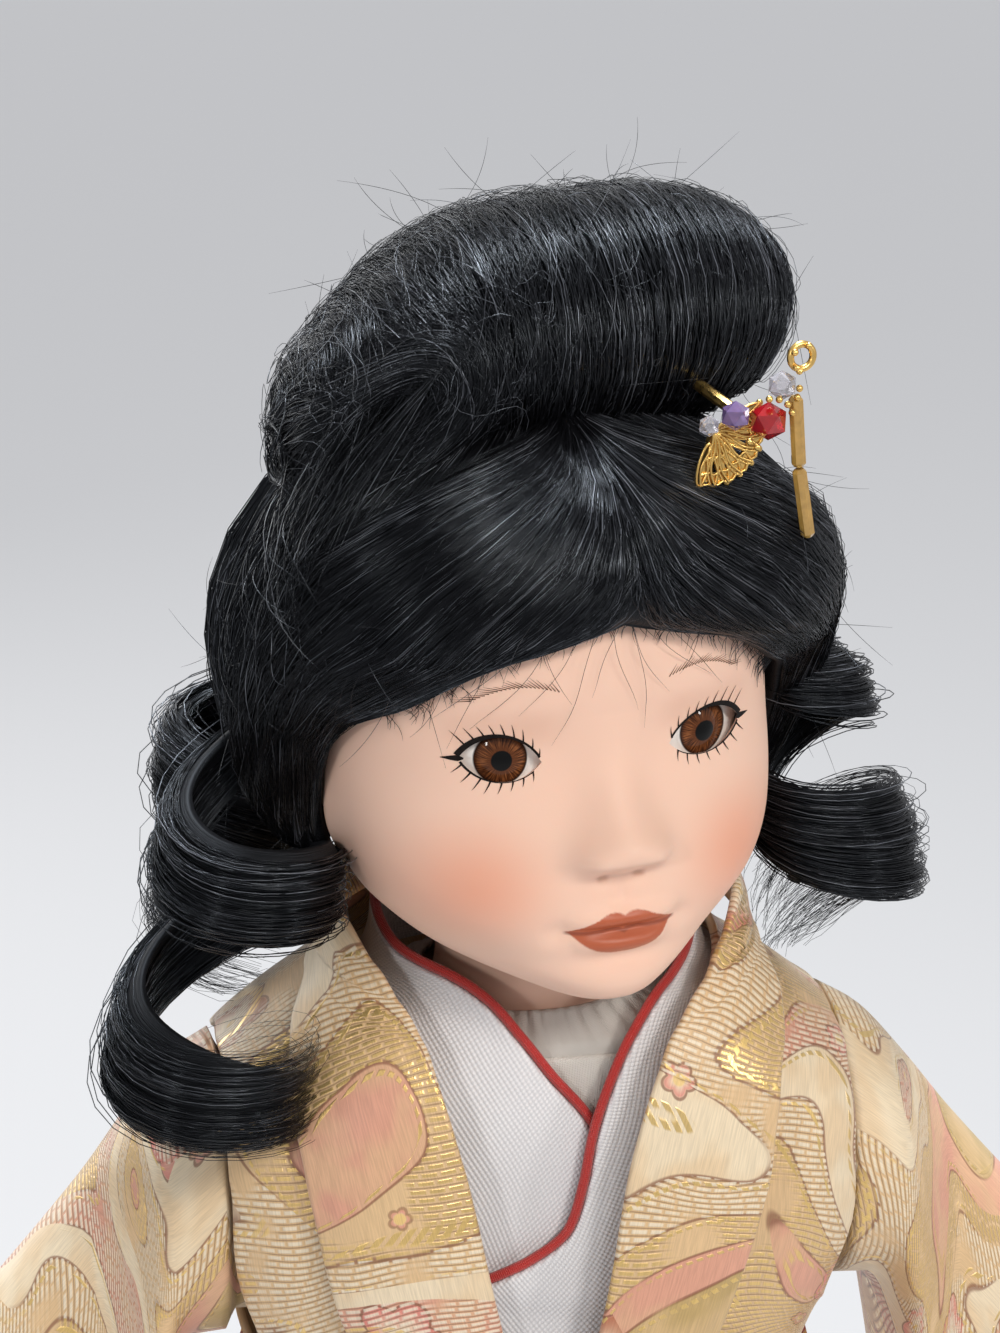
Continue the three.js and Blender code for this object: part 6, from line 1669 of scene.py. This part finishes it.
def buildSleeves():
    seamX = sleeveSpec["seam"]
    x = np.concatenate([np.linspace(seamX - sleeveSpec["tuck"], seamX, 8)[:-1],
                        np.linspace(seamX, seamX + sleeveSpec["length"], sleeveSpec["rows"])])[:, None]
    a = np.linspace(0, fullTurn, sleeveSpec["columns"], endpoint=False)[None]
    outer, inner = sleeveRing(x, a, 0.1), sleeveRing(x, a, form["wall"] - 0.1)
    run, hem = lengths(outer, 0), lengths(outer, 1)
    uv = np.stack([hem, run.mean(1, keepdims=True) + 0 * run], -1) / clothSpan
    # one closed skin: out along the outside, back along the inside
    skinned = np.concatenate([outer, inner[::-1], outer[:1]])
    skinned = np.concatenate([skinned, skinned[:, :1]], 1)
    uv = np.concatenate([uv, uv[::-1], uv[:1]])
    uv = np.concatenate([uv, uv[:, -1:] + (0.012, 0)], 1)
    for side, name in bothSides:
        faces = gridFaces(*skinned.shape[:2])
        obj = addMesh("kimono_sleeve_" + name, skinned * (side, 1, 1), faces, brocade[side], uv)
        editMesh(obj, weld)
        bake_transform(obj)
        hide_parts(name + "_sleeve")
        cloth = obj, float(hem[sleeveSpec["cutRow"], -1]), float(run[-1].mean())
        asSheet(cloth, None, [], [name + "_upper_arm_stuffed"])


buildRobes()
buildUndershirt()
buildSash()
buildBow()
buildCord()
buildSkirt()
buildSleeves()
print("robes done")


# Body, limbs and footwear: node, piece, body, slot, finish, grain of the surface, smoothing rounds, filling
limbs = (("upper_arm", "upper_arm_stuffed", "arm", "calico", calico, 1.6, 3, 0.8),
         ("thigh", "thigh_stuffed", "leg", "calico", calico, 2.0, 3, 0.85),
         ("forearm", "porcelain_hand", "hand", "bisque", skinPlain, 0.65, 3, None),
         ("arm_tie", "wrist_tie", "hand", "calico", calico, 0.45, 2, None),
         ("lower_leg", "socked_leg", "leg", "bisque", legSkin, 1.2, 3, None))
finishes = {"hairpin": gold, "filigree_leaf": gold, "crown_pate": pate, "neck_bolt": steel, "neck_nut": steel,
            "neck_washer": steel, "neck_spring": steel, "shoulder_plate": skinPlain}
sideFinishes = {"arm_wire": steel, "sandal_sole": soleLacquer, "sandal_thong": thongVelvet}


def buildLimbs():
    obj = refined("cloth_body", "stuffed_body", 2.4, 3, calico)
    settle(obj, "torso", "calico", "cloth_body")
    for _, name in bothSides:
        for node, piece, body, slot, material, voxel, rounds, fill in limbs:
            obj = refined(name + "_" + node, name + "_" + piece, voxel, rounds, material)
            settle(obj, name + "_" + body, slot, name + "_" + node)
        for node, material in sideFinishes.items():
            repaint(nodes[name + "_" + node].data, material)
    for node, material in finishes.items():
        repaint(nodes[node].data, material)


buildLimbs()
print("body done")


# Stage, light and camera
floorReach = 6.0
aim = Vector((0, -0.01, 0.34))
warm, bright, cool = (1, 0.96, 0.90), (1, 0.98, 0.95), (0.92, 0.96, 1)
# name: place, size, power, colour
lamps = {"key": ((0.34, -0.60, 0.86), 0.17, 2.9, warm), "second": ((0.10, -0.68, 0.90), 0.17, 1.5, warm),
         "fill": ((-0.75, -0.55, 0.50), 0.7, 0.7, (0.97, 0.97, 1)),
         "spark": ((-0.58, -0.67, 0.64), 0.08, 1.3, bright),
         "glint": ((0.753, -0.504, 0.568), 0.08, 1.3, bright),
         "crown": ((0.05, 0.20, 1.0), 0.25, 8.0, cool), "back": ((-0.5, 0.8, 0.6), 0.6, 4.0, (1, 1, 1))}
lens = {"right": (0.985, -0.174, 0), "up": (0.0595, 0.337, 0.94), "aside": -3.6, "high": 333.4, "far": 575,
        "angle": 24.3}


def pointed(name, data, place, toward):
    obj = newObject(name, data)
    obj.location = place
    obj.rotation_euler = toward.to_track_quat("-Z", "Y").to_euler()
    return obj


def buildStage():
    mesh = bpy.data.meshes.new("floor")
    corners = [(x * floorReach, y * floorReach, 0) for x, y in ((-1, -1), (1, -1), (1, 1), (-1, 1))]
    mesh.from_pydata(corners, [], [(0, 1, 2, 3)])
    mesh.materials.append(shader("pale_floor", Roughness=0.9, Base_Color=(0.32, 0.32, 0.32, 1),
                                 Emission_Color=(0.95, 0.96, 1, 1), Emission_Strength=0.48)[0])
    newObject("floor", mesh)
    scene.world = bpy.data.worlds.new("studio")
    scene.world.use_nodes = True
    tree = scene.world.node_tree
    path = put(tree, "LightPath", {})
    glassy = path.out("Is Glossy Ray").math("MAXIMUM", path.out("Is Transmission Ray"))
    shown = path.out("Is Camera Ray").math("MAXIMUM", glassy)
    light = put(tree, "Mix", {0: shown, 2: 0.17, 3: 0.60})
    drive(tree.nodes["Background"], Color=(0.93, 0.94, 0.96, 1), Strength=light)
    for name, (place, size, power, color) in lamps.items():
        lamp = bpy.data.lights.new(name, "AREA")
        lamp.shape = "SQUARE"
        lamp.size = size
        lamp.energy = power
        lamp.color = color
        pointed(name, lamp, place, aim - Vector(place)).visible_glossy = name != "fill"


def buildCamera():
    # seen from a little to the doll's right and above, as in the photograph
    right, up = Vector(lens["right"]), Vector(lens["up"])
    back = right.cross(up).normalized()
    camera = bpy.data.cameras.new("camera")
    camera.angle = math.radians(lens["angle"])
    place = (lens["aside"] * right + lens["high"] * up + lens["far"] * back) * mm
    scene.camera = pointed("camera", camera, place, -back)


buildStage()
buildCamera()
scene.view_settings.view_transform = "Standard"
